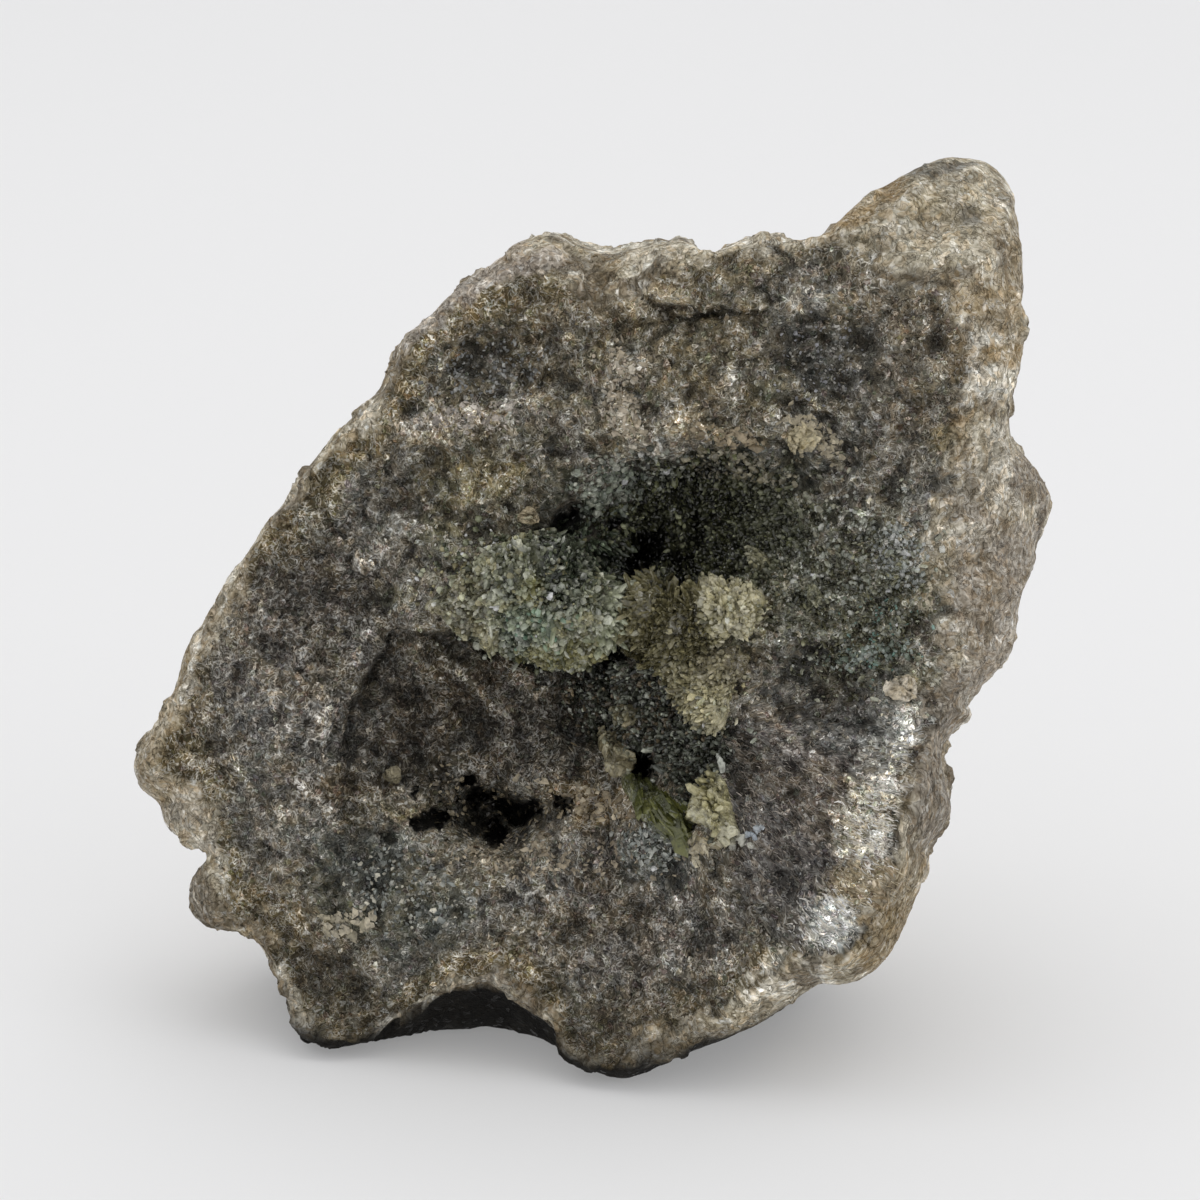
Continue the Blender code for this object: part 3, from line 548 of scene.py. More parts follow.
# Colours of the broken face: the base, then stains laid over it in this order, each by middle, half sizes,
# turn in degrees, raggedness, softness of the edge, colour, strength, and how thick the threads lie in it
FACE_COLOUR = "#787166"
FACE_STAINS = {
    "violet-grey left cheek": ((-31.0, -8.0), (9.0, 12.0), 12, 0.4, 0.4, "#6f6964", 0.7, 0.8),
    "brown top": ((9.0, 26.0), (9.0, 7.0), 0, 0.4, 0.4, "#82765f", 0.8, 0.35),
    "brown right": ((31.0, 26.0), (5.5, 9.0), 0, 0.35, 0.3, "#857865", 0.8, 0.3),
    "violet-grey fan": ((19.0, -20.0), (10.0, 10.0), 0, 0.4, 0.4, "#645d5b", 0.8, 0.5),
    "rosy lower middle": ((2.0, -31.0), (14.0, 6.0), 0, 0.4, 0.4, "#6c645c", 0.8, 0.8),
    "dark of the upper left cheek": ((-28.5, -1.2), (7.0, 4.6), -20, 0.4, 0.3, "#5f564c", 0.7, 0.9),
    "dark dent, upper left": ((-11.0, 23.6), (6.4, 3.2), 14, 0.45, 0.35, "#67635b", 0.85, 0.15),
    "pale band under it": ((-12.0, 18.9), (8.8, 1.5), 8, 0.6, 0.4, "#8a8475", 0.75, 0.5),
    "rosy blotches": ((-13.5, 17.6), (4.0, 1.3), 10, 0.9, 0.35, "#aca193", 0.8, 0.6),
    "olive patch": ((-11.0, 12.6), (6.0, 4.2), 0, 0.5, 0.4, "#6c6550", 0.7, 0.4),
    "yellow flecks": ((-12.0, 11.2), (2.2, 1.8), 0, 1.2, 0.15, "#8d8262", 0.7, 0.4),
    "grey above the shelf": ((-8.5, 8.0), (5.0, 3.0), 10, 0.5, 0.3, "#66635c", 0.7, 0.3),
    "pale lumpy band": ((2.4, 20.4), (2.3, 5.6), 8, 0.8, 0.35, "#a59a86", 0.8, 0.6),
    "rind dipping over the top": ((1.4, 31.0), (5.8, 2.9), 0, 0.4, 0.25, "#a59881", 0.85, 0.3),
    "tan left of it": ((-5.5, 27.0), (3.5, 5.0), 20, 0.6, 0.35, "#82765f", 0.6, 0.6),
    "dark dent, upper right": ((22.2, 24.3), (4.8, 5.2), 25, 0.55, 0.35, "#635f57", 0.85, 0.2),
    "pale step": ((21.4, 30.3), (2.0, 1.1), 10, 0.5, 0.2, "#a49d92", 0.85, 0.3),
    "tan crest": ((12.8, 16.6), (4.4, 1.2), -10, 0.8, 0.3, "#998c72", 0.85, 0.6),
    "pale lumps": ((21.0, 17.0), (3.8, 2.0), -28, 0.9, 0.3, "#a39a83", 0.8, 0.5),
    "violet-grey by the lumps": ((19.0, 13.5), (3.4, 1.8), 0, 0.5, 0.25, "#5c5a60", 0.8, 0.2),
    "yellow patch": ((34.6, 16.0), (1.6, 1.6), 0, 0.5, 0.3, "#8b7d58", 0.6, 0.3),
    # The hollow's dark is partly its dark crystals and partly painted shade of its depth; the throat and the
    # slit below are painted near black, painted shade of deep clefts
    "hollow": ((8.8, 7.2), (8.6, 6.6), 14, 0.9, 0.4, "#34362b", 0.93, 0.1),
    "hollow's olive side": ((17.6, 6.0), (4.4, 8.0), 0, 0.8, 0.4, "#605e4d", 0.7, 0.3),
    "throat": ((5.0, 4.4), (3.6, 5.2), -22, 0.7, 0.3, "#0d0e0a", 1.0, 0.0),
    "slit": ((-3.0, 7.8), (3.4, 1.0), 30, 0.5, 0.2, "#12120c", 1.0, 0.0),
    "shelf's ground": ((-8.6, 1.6), (9.6, 5.2), -14, 0.4, 0.25, "#807d66", 0.85, 0.3),
    "green field": ((25.4, -0.4), (8.0, 8.6), 0, 0.45, 0.4, "#868477", 0.88, 0.25),
    "slate patch": ((22.5, -9.2), (7.5, 5.4), -10, 0.4, 0.3, "#696560", 0.8, 0.4),
    # Painted shadow under the shelf's overhanging lip, in this row and the next
    "dark below the shelf": ((-3.6, -7.8), (10.4, 2.2), -8, 0.6, 0.3, "#34322a", 0.9, 0.6),
    "dark right of the shelf": ((3.2, -7.6), (5.2, 3.4), -20, 0.4, 0.3, "#24231e", 0.92, 0.3),
    # The brown slope is partly its own brown and partly painted shade, as it faces down away from the light
    "brown slope": ((-16.0, -11.6), (9.6, 7.6), 0, 0.5, 0.35, "#4d463c", 0.9, 0.9),
    "rust on the slope": ((-14.0, -9.5), (6.5, 4.4), 0, 0.8, 0.4, "#52463a", 0.6, 0.9),
    "basin": ((-2.4, -13.2), (8.6, 6.4), 0, 0.5, 0.35, "#5a5248", 0.88, 1.0),
    "slate beside the hole": ((8.6, -13.0), (4.6, 6.4), 10, 0.5, 0.3, "#4a4843", 0.88, 0.6),
    "dark round the pits": ((-12.0, -20.6), (7.6, 2.8), -6, 1.0, 0.3, "#37332a", 0.9, 0.8),
    "tan left of the rosette": ((-0.6, -20.2), (4.4, 2.0), -15, 0.6, 0.2, "#857459", 0.85, 0.8),
    "slate under the rosette": ((6.0, -25.4), (4.4, 3.2), -10, 0.5, 0.3, "#5f605c", 0.8, 0.5),
    "slate, lower left": ((-19.5, -29.2), (6.4, 4.4), -22, 0.6, 0.35, "#585a54", 0.85, 0.3),
    "slate, far left": ((-27.4, -22.6), (4.6, 3.0), 10, 0.7, 0.35, "#595953", 0.75, 0.5),
    "tan round the slate": ((-24.0, -19.6), (5.0, 2.4), -20, 0.6, 0.3, "#7d6e55", 0.7, 0.9),
    "pale seam": ((-29.2, -19.6), (4.6, 1.0), -42, 0.5, 0.3, "#9b8f80", 0.8, 0.9),
    "pale line beside the slope": ((-25.2, -8.0), (1.1, 5.8), -24, 0.5, 0.3, "#9a9086", 0.8, 0.8),
    "threads at the slope's right": ((-8.0, -7.6), (5.2, 1.2), -38, 0.5, 0.3, "#877863", 0.8, 1.0),
    "pale line through the fan": ((19.8, -14.6), (6.4, 0.8), -38, 0.5, 0.3, "#857b73", 0.7, 0.5),
    "vein, upper": ((29.6, -15.0), (2.0, 4.2), -36, 0.6, 0.4, "#c6c1b6", 0.85, 0.5),
    "vein, middle": ((27.4, -22.8), (2.8, 5.8), -8, 0.6, 0.45, "#e2ddd3", 0.92, 0.3),
    "vein, tan": ((26.2, -28.4), (3.2, 2.4), 20, 0.6, 0.4, "#bcaa8a", 0.8, 0.5),
    "vein, lower": ((23.0, -32.6), (4.4, 3.0), 40, 0.8, 0.4, "#f8f5ee", 0.95, 0.3),
    "brown rind, lower right": ((31.0, -29.0), (2.6, 6.4), -28, 0.4, 0.25, "#75654a", 0.9, 0.4),
    "grey rind, right": ((32.2, -20.4), (2.4, 7.4), -4, 0.3, 0.2, "#8a7e6c", 0.9, 0.4),
    "left foot": ((-26.5, -40.0), (6.0, 4.6), -20, 0.4, 0.3, "#645945", 0.85, 0.6),
    "middle foot": ((4.0, -42.4), (9.0, 3.6), 12, 0.4, 0.3, "#635a4c", 0.85, 0.6),
}

# Wear and painted shade: how much paler a point gets for each millimetre that it stands out from its
# surroundings, and darker where it is sunk; and the sizes of those surroundings in millimetres with their
# weights
WEAR_AND_SHADE = 0.85
WEAR_AND_SHADE_SIZES = ((0.7, 1.5), (2.4, 0.75), (6.0, 0.15))

# Seams of the broken face: the path, its half width, colour, strength, and how thick the threads lie in it
SEAMS = {
    "crest left of the shelf": (
        [(-29.0, 9.0), (-26.4, 6.4), (-24.0, 4.0), (-22.0, 2.0), (-19.6, -0.4)], 0.7, "#857b6b", 0.7, 0.9,
    ),
    "cheek beside the slope": (
        [(-22.6, -3.6), (-25.0, -8.0), (-27.5, -12.0), (-28.6, -17.0)], 1.0, "#90887e", 0.75, 0.9,
    ),
    "streaks low on the cheek": (
        [(-37.5, -14.5), (-36.0, -17.0), (-33.5, -20.0), (-30.5, -22.0)], 0.5, "#a79a82", 0.85, 0.9,
    ),
    "band under the left dent": (
        [(-19.0, 16.6), (-16.6, 17.6), (-12.6, 17.8), (-8.0, 20.0), (-4.6, 20.6)], 0.7, "#aaa194", 0.85, 0.7,
    ),
    "lip of the left dent": (
        [(-18.0, 20.5), (-15.0, 24.6), (-12.0, 26.4), (-8.6, 26.6)], 0.4, "#94866b", 0.85, 0.8,
    ),
    "tan edge over the hollow": (
        [(9.4, 18.6), (11.0, 17.2), (13.6, 16.8), (16.4, 18.0)], 0.7, "#ab9c80", 0.85, 0.8,
    ),
    "diagonal over the lumps": (
        [(15.0, 24.6), (17.4, 22.8), (21.0, 20.4), (25.6, 18.4)], 0.7, "#a3957a", 0.9, 0.7,
    ),
    "cream streak under them": ([(21.6, 16.0), (23.6, 14.4), (25.2, 12.2)], 0.5, "#a99d84", 0.6, 0.4),
    "rosy seam of the fan": (
        [(14.4, -8.8), (17.0, -11.4), (19.4, -14.4), (23.0, -17.2), (26.0, -19.4)], 0.5, "#94887f", 0.8, 0.6,
    ),
    "second seam of the fan": ([(16.6, -9.2), (20.0, -12.4), (24.4, -14.8)], 0.3, "#a29890", 0.6, 0.7),
    "line below the rosette": ([(6.4, -27.6), (7.4, -30.4), (7.8, -34.6)], 0.16, "#a69e90", 0.8, 0.4),
    "short line beside it": ([(11.2, -29.6), (11.8, -31.6), (12.4, -33.6)], 0.2, "#a69e90", 0.8, 0.4),
    "edge of the right rind": (
        [(32.6, 10.0), (32.5, 4.0), (33.4, 0.0), (34.4, -4.0)], 0.25, "#aeaca4", 0.75, 0.3,
    ),
    "threads right of the slope": (
        [(-17.6, -3.6), (-15.0, -6.2), (-12.0, -9.2), (-9.0, -12.2)], 0.6, "#928672", 0.85, 1.0,
    ),
    "grey strip, lower left": (
        [(-19.9, -23.6), (-19.0, -25.4), (-17.4, -27.6), (-16.4, -28.4)], 0.55, "#c4c0b2", 1.0, 0.1,
    ),
    "tan edge of the pits": ([(-21.6, -20.4), (-19.6, -21.4), (-17.6, -21.0)], 0.5, "#9a8e6c", 0.8, 0.6),
    # Painted shadow under the overhanging brow, and painted shade in the crack right of it
    "painted shadow under the brow": (
        [(3.4, 31.0), (5.2, 29.6), (8.8, 28.4), (13.0, 28.6), (17.0, 28.6)], 0.35, "#3a352c", 0.7, 0.3,
    ),
    "painted shade in the crack right of the brow": ([(17.4, 35.0), (16.6, 32.0), (17.0, 29.6)], 0.25, "#3a352c", 0.6, 0.3),
}
RIM_COLOUR = "#8a7a58"
# The colour of the painted shade below the left edge of the brown slope
SLOPE_EDGE, SLOPE_EDGE_SHADE_COLOUR = "left edge of the brown slope", "#453e34"
COLOUR_CAST = np.array([0.985, 1.005, 0.985])  # the whole face leans a little to green

# Mottling of the broken face and of the skin: grain size in mm, seed, where the soft noise starts and ends,
# and what it multiplies the colour by
FACE_MOTTLES = [
    (7.0, 690, 0.05, 0.5, (0.82, 0.82, 0.82)),
    (6.0, 695, 0.1, 0.5, (1.15, 1.14, 1.12)),
    (3.6, 700, 0.05, 0.4, (0.86, 0.90, 0.94)),
    (4.0, 710, 0.05, 0.4, (1.03, 0.98, 0.85)),
    (1.7, 720, 0.05, 0.45, (0.84, 0.83, 0.81)),
    (2.0, 730, 0.1, 0.5, (1.15, 1.15, 1.13)),
    (0.75, 740, 0.15, 0.45, (0.84, 0.83, 0.82)),
    (0.85, 750, 0.2, 0.5, (1.12, 1.12, 1.1)),
]
SKIN_MOTTLES = [
    (3.4, 760, 0.1, 0.45, (0.92, 0.89, 0.81)),
    (2.6, 770, 0.1, 0.4, (1.10, 1.11, 1.12)),
    (1.3, 780, 0.15, 0.4, (0.78, 0.77, 0.74)),
    (0.7, 790, 0.2, 0.4, (0.76, 0.74, 0.71)),
]

# The weathered skin: its colour, and the patches laid over it, each by colour, size in mm, seed, and where
# the soft noise starts and ends
SKIN_COLOUR = "#bfb59f"
SKIN_PATCHES = {
    "tan": ("#9d8d70", 7.0, 301, 0.0, 0.4),
    "chalk": ("#dad3c2", 4.2, 311, 0.2, 0.5),
    "grime": ("#776b58", 5.0, 321, 0.2, 0.5),
}

# Painted shade: the underside is painted near black below these heights, and behind the front arch
# inside these ramps of y, x and z
UNDERSIDE_SHADE_COLOUR = "#080706"
SHADE_BELOW_HEIGHTS = (9.0, 3.0)
ARCH_SHADE_RAMPS = ((1, (-21.0, -19.2)), (0, (-26.0, -22.0)), (0, (1.0, -3.0)), (2, (12.0, 9.0)))

# Stains on the part of the skin that the viewer of the face sees, in rows like those of the broken face
SKIN_STAINS = {
    "grey-brown flank": ((41.0, -2.0), (7.0, 14.0), 0, 0.4, 0.3, "#968b7d", 0.8, 0.5),
    "chalk on the flank": ((38.8, 23.5), (2.6, 3.2), 0, 0.5, 0.2, "#d3cdbf", 0.85, 0.2),
    "chalk lower on the flank": ((39.5, 13.5), (2.0, 4.5), 0, 0.6, 0.2, "#c3bba9", 0.8, 0.2),
    "tan on the flank": ((38.2, 29.8), (4.0, 1.6), 0, 0.6, 0.25, "#b09c78", 0.7, 0.3),
    "dark hollow of the horn": ((32.2, 39.6), (4.2, 1.1), -10, 0.7, 0.25, "#9d9077", 0.6, 0.5),
    "pale shoulder of the horn": ((34.0, 34.8), (5.6, 2.2), 0, 0.5, 0.25, "#c9c0aa", 0.85, 0.2),
    "horn": ((33.0, 39.6), (7.0, 4.0), 20, 0.5, 0.4, "#bdb298", 0.6, 0.3),
    "ochre foot of the horn": ((25.0, 38.4), (4.2, 1.2), 24, 0.8, 0.25, "#a08659", 0.75, 0.3),
    "grey streak near the horn's tip": ((34.0, 43.0), (3.4, 0.5), 8, 0.8, 0.25, "#77736a", 0.8, 0.3),
    "dark spots of the horn": ((36.8, 38.4), (0.9, 0.7), 0, 0.9, 0.2, "#6f6a5e", 0.8, 0.3),
    "shadow line under the shoulder": ((32.4, 31.9), (3.8, 0.35), -8, 0.5, 0.2, "#4d4435", 0.8, 0.3),
    "ochre band of the flank": ((39.6, 24.6), (2.6, 0.8), 0, 0.7, 0.25, "#a58c5e", 0.7, 0.3),
    "ochre streak down the flank": ((37.6, 18.0), (0.7, 5.0), 4, 0.9, 0.25, "#a08a62", 0.65, 0.3),
    "violet-grey top left": ((-12.0, 33.0), (9.0, 4.0), 45, 0.5, 0.3, "#b3a79b", 0.7, 0.3),
    "grey-brown rind, lower right": ((35.0, -18.0), (4.0, 10.0), 0, 0.4, 0.35, "#92887a", 0.8, 0.4),
    "tan rind, lower right": ((30.0, -33.0), (5.0, 5.0), -35, 0.5, 0.35, "#9c8863", 0.75, 0.4),
    "cream rind under the middle foot": ((10.0, -45.0), (9.0, 2.6), 14, 0.5, 0.3, "#b5a98f", 0.6, 0.4),
    "chalk low on the left": ((-41.5, -21.0), (3.5, 3.0), 0, 0.5, 0.3, "#b4aa98", 0.8, 0.4),
    "tan left knob": ((-42.5, -16.0), (4.0, 4.5), 0, 0.4, 0.3, "#b6a78a", 0.8, 0.4),
}


def lay_stains(tint, threads, x, z, rag, stains):
    """Lays each stain over the tint and the threads, by its ragged spot."""
    for k, row in enumerate(stains.values()):
        middle, half_sizes, turn_deg, raggedness, soft, colour, strength, thick = row
        share = strength * spot(x, z, rag[k % 3], middle, half_sizes, turn_deg, raggedness, soft)
        tint = tint + (linear(colour) - tint) * share[..., None]
        threads = threads + (thick - threads) * share
    return tint, threads


def mottled(tint, points, mottles):
    """Multiplies the tint by each mottle's colour where its ragged noise is high."""
    for size, seed, low, high, colour in mottles:
        share = smoothstep(low, high, fractal(points, size, seed, 4, 0.65))[..., None]
        tint = tint * (1 + (np.array(colour) - 1) * share)
    return tint


# The threads of the lower right point away from a heart: their pattern is drawn out round a middle place, as
# distances from the heart count for only this share there
FAN_HEART, FAN_MIDDLE, FAN_STRETCH = np.array([4.0, -10.0]), np.array([20.0, -23.0]), 0.32


def fan_shift(x, z):
    """How far each point of the face is moved within the felt, so that in the lower right the pattern is
    drawn out away from the fan's heart, as the threads there point away from it."""
    way = np.stack([x, z], axis=-1) - FAN_HEART
    middle = FAN_MIDDLE - FAN_HEART
    middle_reach = np.linalg.norm(middle)
    outward = middle / middle_reach
    across = np.array([-outward[1], outward[0]])
    turn = np.arctan2(way @ across, way @ outward)
    drawn = FAN_MIDDLE + (np.linalg.norm(way, axis=-1) - middle_reach)[..., None] * FAN_STRETCH * outward
    drawn = drawn + (turn * middle_reach)[..., None] * across
    share = smoothstep(0.9, 0.3, np.abs(turn)) * smoothstep(4.0, 11.0, np.linalg.norm(way, axis=-1))
    shift = (drawn - np.stack([x, z], axis=-1)) * share[..., None]
    return np.stack([shift[..., 0], np.zeros_like(x), shift[..., 1]], axis=-1)


# The skin's bedding: how much height counts for low on the flanks, half of what it counts for more above the
# foot of the horn, that foot's height, and how long the change takes, in millimetres
BEDDING_SLOPE, BEDDING_GAIN, HORN_FOOT, HORN_STRETCH = 0.7, 0.45, 72.0, 6.0


def bedding(points):
    """Places in the skin's own bedding: height counts for less low on the flanks, which draws patches out
    upright, and for more towards the horn, which lays them level."""
    x, y, z = np.moveaxis(points, -1, 0)
    above = z - HORN_FOOT
    level = BEDDING_GAIN * (above + np.sqrt(above**2 + HORN_STRETCH**2))
    return np.stack([x, y, BEDDING_SLOPE * z + level], axis=-1)


def seams(x, z, rag):
    """Each seam's share at each place, with its colour and threads: a bell across its swayed path, thinner
    at the ends and broken here and there."""
    wx, wz = x + 0.5 * rag[0] + 0.25 * rag[2], z + 0.5 * rag[1]
    for path, half_width, colour, strength, thick in SEAMS.values():
        side, along = from_path(wx, wz, path)
        share = np.exp(-((side / half_width) ** 2)) * taper(along, 0.5)
        yield strength * share * smoothstep(-0.9, -0.1, rag[2]), colour, thick


def face_tint(x, z):
    """Colour of the broken face before its grain, and how thick its pale threads lie: the base, the
    olive-brown edge inside the rim, the stains, painted shade below the slope's edge, the seams and
    mottling."""
    shift = fan_shift(x, z)
    rag = rags(x + shift[..., 0], z + shift[..., 2])
    tint = np.broadcast_to(linear(FACE_COLOUR), x.shape + (3,)).copy()
    threads = np.full(x.shape, 0.55)
    dx, dz = x - FACE_MIDDLE[0], z - FACE_MIDDLE[1]
    bearing = np.arctan2(dz, dx)
    inside_rim = reach(RIM_OUTLINE, bearing) - np.hypot(dx, dz)
    edge = smoothstep(4.4, 2.4, inside_rim + 1.6 * rag[1]) * (1 - smoothstep(0.2, 0.8, np.cos(bearing)))
    tint = tint + (linear(RIM_COLOUR) - tint) * 0.85 * edge[..., None]
    threads = threads + 0.3 * edge
    tint, threads = lay_stains(tint, threads, x, z, rag, FACE_STAINS)
    # Painted shade below the slope's left edge, fading away from it
    side, along = from_path(x + 0.6 * rag[0], z + 0.6 * rag[1], SCARPS[SLOPE_EDGE][0])
    below = taper(along, 0.5) * smoothstep(-0.1, 0.1, side) * np.exp(-np.clip(side, 0, None) / 4)
    tint = tint + (linear(SLOPE_EDGE_SHADE_COLOUR) - tint) * 0.85 * below[..., None]
    for share, colour, thick in seams(x, z, rag):
        tint = tint + (linear(colour) - tint) * share[..., None]
        threads = threads + (thick - threads) * share
    tint = mottled(tint, on_plane(x + shift[..., 0], z + shift[..., 2]), FACE_MOTTLES)
    return tint * COLOUR_CAST, threads


def blurred(values, reach_mm):
    """Means over squares of the given half side, from running sums along both directions of the grid."""
    steps = max(int(round(reach_mm / MAP_STEP)), 1)
    for axis in (0, 1):
        ends = [(0, 0), (0, 0)]
        ends[axis] = (steps + 1, steps)
        sums = np.cumsum(np.pad(values, ends, mode="edge"), axis=axis)
        count = values.shape[axis]
        high = np.take(sums, np.arange(count) + 2 * steps + 1, axis=axis)
        values = (high - np.take(sums, np.arange(count), axis=axis)) / (2 * steps + 1)
    return values


def wear_and_shade(depth):
    """Crests are rubbed pale, and dents and gaps get painted shade: a multiplier of the colour that grows
    with how far each point stands out from its surroundings."""
    proud = sum(weight * (blurred(depth, size) - depth) for size, weight in WEAR_AND_SHADE_SIZES)
    return np.exp(np.clip(WEAR_AND_SHADE * proud, -0.9, 0.38))


NORMAL_REACH = 1.0  # half the size in millimetres over which the face is smoothed for its normals
# How dark the pits are painted inside: painted shade
PIT_PAINTED_SHADE = 0.93


def lay_out_face():
    """The broken face worked out once, on a square grid: its depth, its places in the standing frame, the
    normals of its smoothed shape, its colour, how thick its threads lie, and the crusts, none so far."""
    x, z = np.meshgrid(MAP_X, MAP_Z, indexing="ij")
    depth = broken_face(x, z)
    for share, _, thick in seams(x, z, rags(x, z)):
        # A seam thick with threads stands out, and a bare one is sunk
        depth = depth - (0.6 * thick - 0.2) * share
    place = stand(np.stack([x, depth, z], axis=-1))
    smooth = stand(np.stack([x, blurred(depth, NORMAL_REACH), z], axis=-1))
    normal = np.cross(np.gradient(smooth, axis=0), np.gradient(smooth, axis=1))
    normal /= np.linalg.norm(normal, axis=-1, keepdims=True)
    tint, threads = face_tint(x, z)
    # Crests paler from wear, dents darker from painted shade
    tint = tint * wear_and_shade(depth)[..., None]
    # Painted shade: each pit is painted dark inside, as its depth would shade it
    for share, _ in pit_shares(x, z):
        tint = tint * (1 - PIT_PAINTED_SHADE * share[..., None])
    return {
        "depth": depth, "place": place, "normal": normal, "tint": tint, "threads": threads,
        "crust": np.zeros(x.shape), "crust_tint": tint.copy(),
    }


def on_map(name, x, z):
    """A value of the laid-out face at any place, blended between the four grid points round it."""
    across = np.clip((x - MAP_X[0]) / MAP_STEP, 0, len(MAP_X) - 1.001)
    up = np.clip((z - MAP_Z[0]) / MAP_STEP, 0, len(MAP_Z) - 1.001)
    i, j = across.astype(int), up.astype(int)
    values = FACE_MAP[name]
    tail = (...,) + (None,) * (values.ndim - 2)
    s, t = (across - i)[tail], (up - j)[tail]
    low = values[i, j] * (1 - s) + values[i + 1, j] * s
    return low * (1 - t) + (values[i, j + 1] * (1 - s) + values[i + 1, j + 1] * s) * t


def skin_tint(points, x, z, front):
    """Colour of the weathered skin before its grain: cream, with tan, chalk-white and grime patches, and
    the stains of its front. The underside and the sag behind the arch are painted near black: painted shade."""
    tint = np.broadcast_to(linear(SKIN_COLOUR), points.shape).copy()
    upright = bedding(points)
    for colour, size, seed, low, high in SKIN_PATCHES.values():
        share = smoothstep(low, high, fractal(upright, size, seed, 4, 0.65))[..., None]
        tint = tint + (linear(colour) - tint) * 0.8 * share
    stained, _ = lay_stains(tint, np.zeros(x.shape), x, z, rags(x, z), SKIN_STAINS)
    tint = tint + (stained - tint) * front[..., None]
    tint = mottled(tint, upright, SKIN_MOTTLES)
    # Painted shade: the underside low down and the sag behind the front arch are painted near black
    low = smoothstep(*SHADE_BELOW_HEIGHTS, points[..., 2] + 2.0 * fractal(points, 4.0, 331, 3))
    arch = (front < 1) * 1.0
    for axis, ramp in ARCH_SHADE_RAMPS:
        arch = arch * smoothstep(*ramp, points[..., axis])
    low = np.maximum(low, arch)
    return tint + (linear(UNDERSIDE_SHADE_COLOUR) - tint) * 0.98 * low[..., None]


def node(tree, kind, links=None, stops=None, **settings):
    """Adds a shader node, sets its settings and inputs, and links those inputs that are given as sockets."""
    made = tree.nodes.new("ShaderNode" + kind)
    for key, value in settings.items():
        setattr(made, key, value)
    for key, value in (links or {}).items():
        if isinstance(value, bpy.types.NodeSocket):
            tree.links.new(value, made.inputs[key])
        else:
            made.inputs[key].default_value = value
    if stops:
        ramp = made.color_ramp.elements
        while len(ramp) < len(stops):
            ramp.new(0.5)
        for element, (place, colour) in zip(ramp, stops):
            element.position = place
            element.color = (colour,) * 3 + (1.0,) if isinstance(colour, float) else (*colour, 1.0)
    return made


def per_mm(size):
    """A texture's scale for a pattern of this size in millimetres, on Object coordinates in metres."""
    return 1000.0 / size


# Sizes of the rock's patterns in millimetres, and its threads: the size of their curls, half their width in
# the soft field that draws them, and how light the felt is between them
SWAY_MM, GRAIN_MM, CLOUD_MM, POWDER_MM, CRACK_MM = 1.3, 0.6, 3.0, 0.42, 3.4
THREADS = ((0.66, 0.12, 0.10), (0.42, 0.15, 0.06), (2.1, 0.045, 0.18))


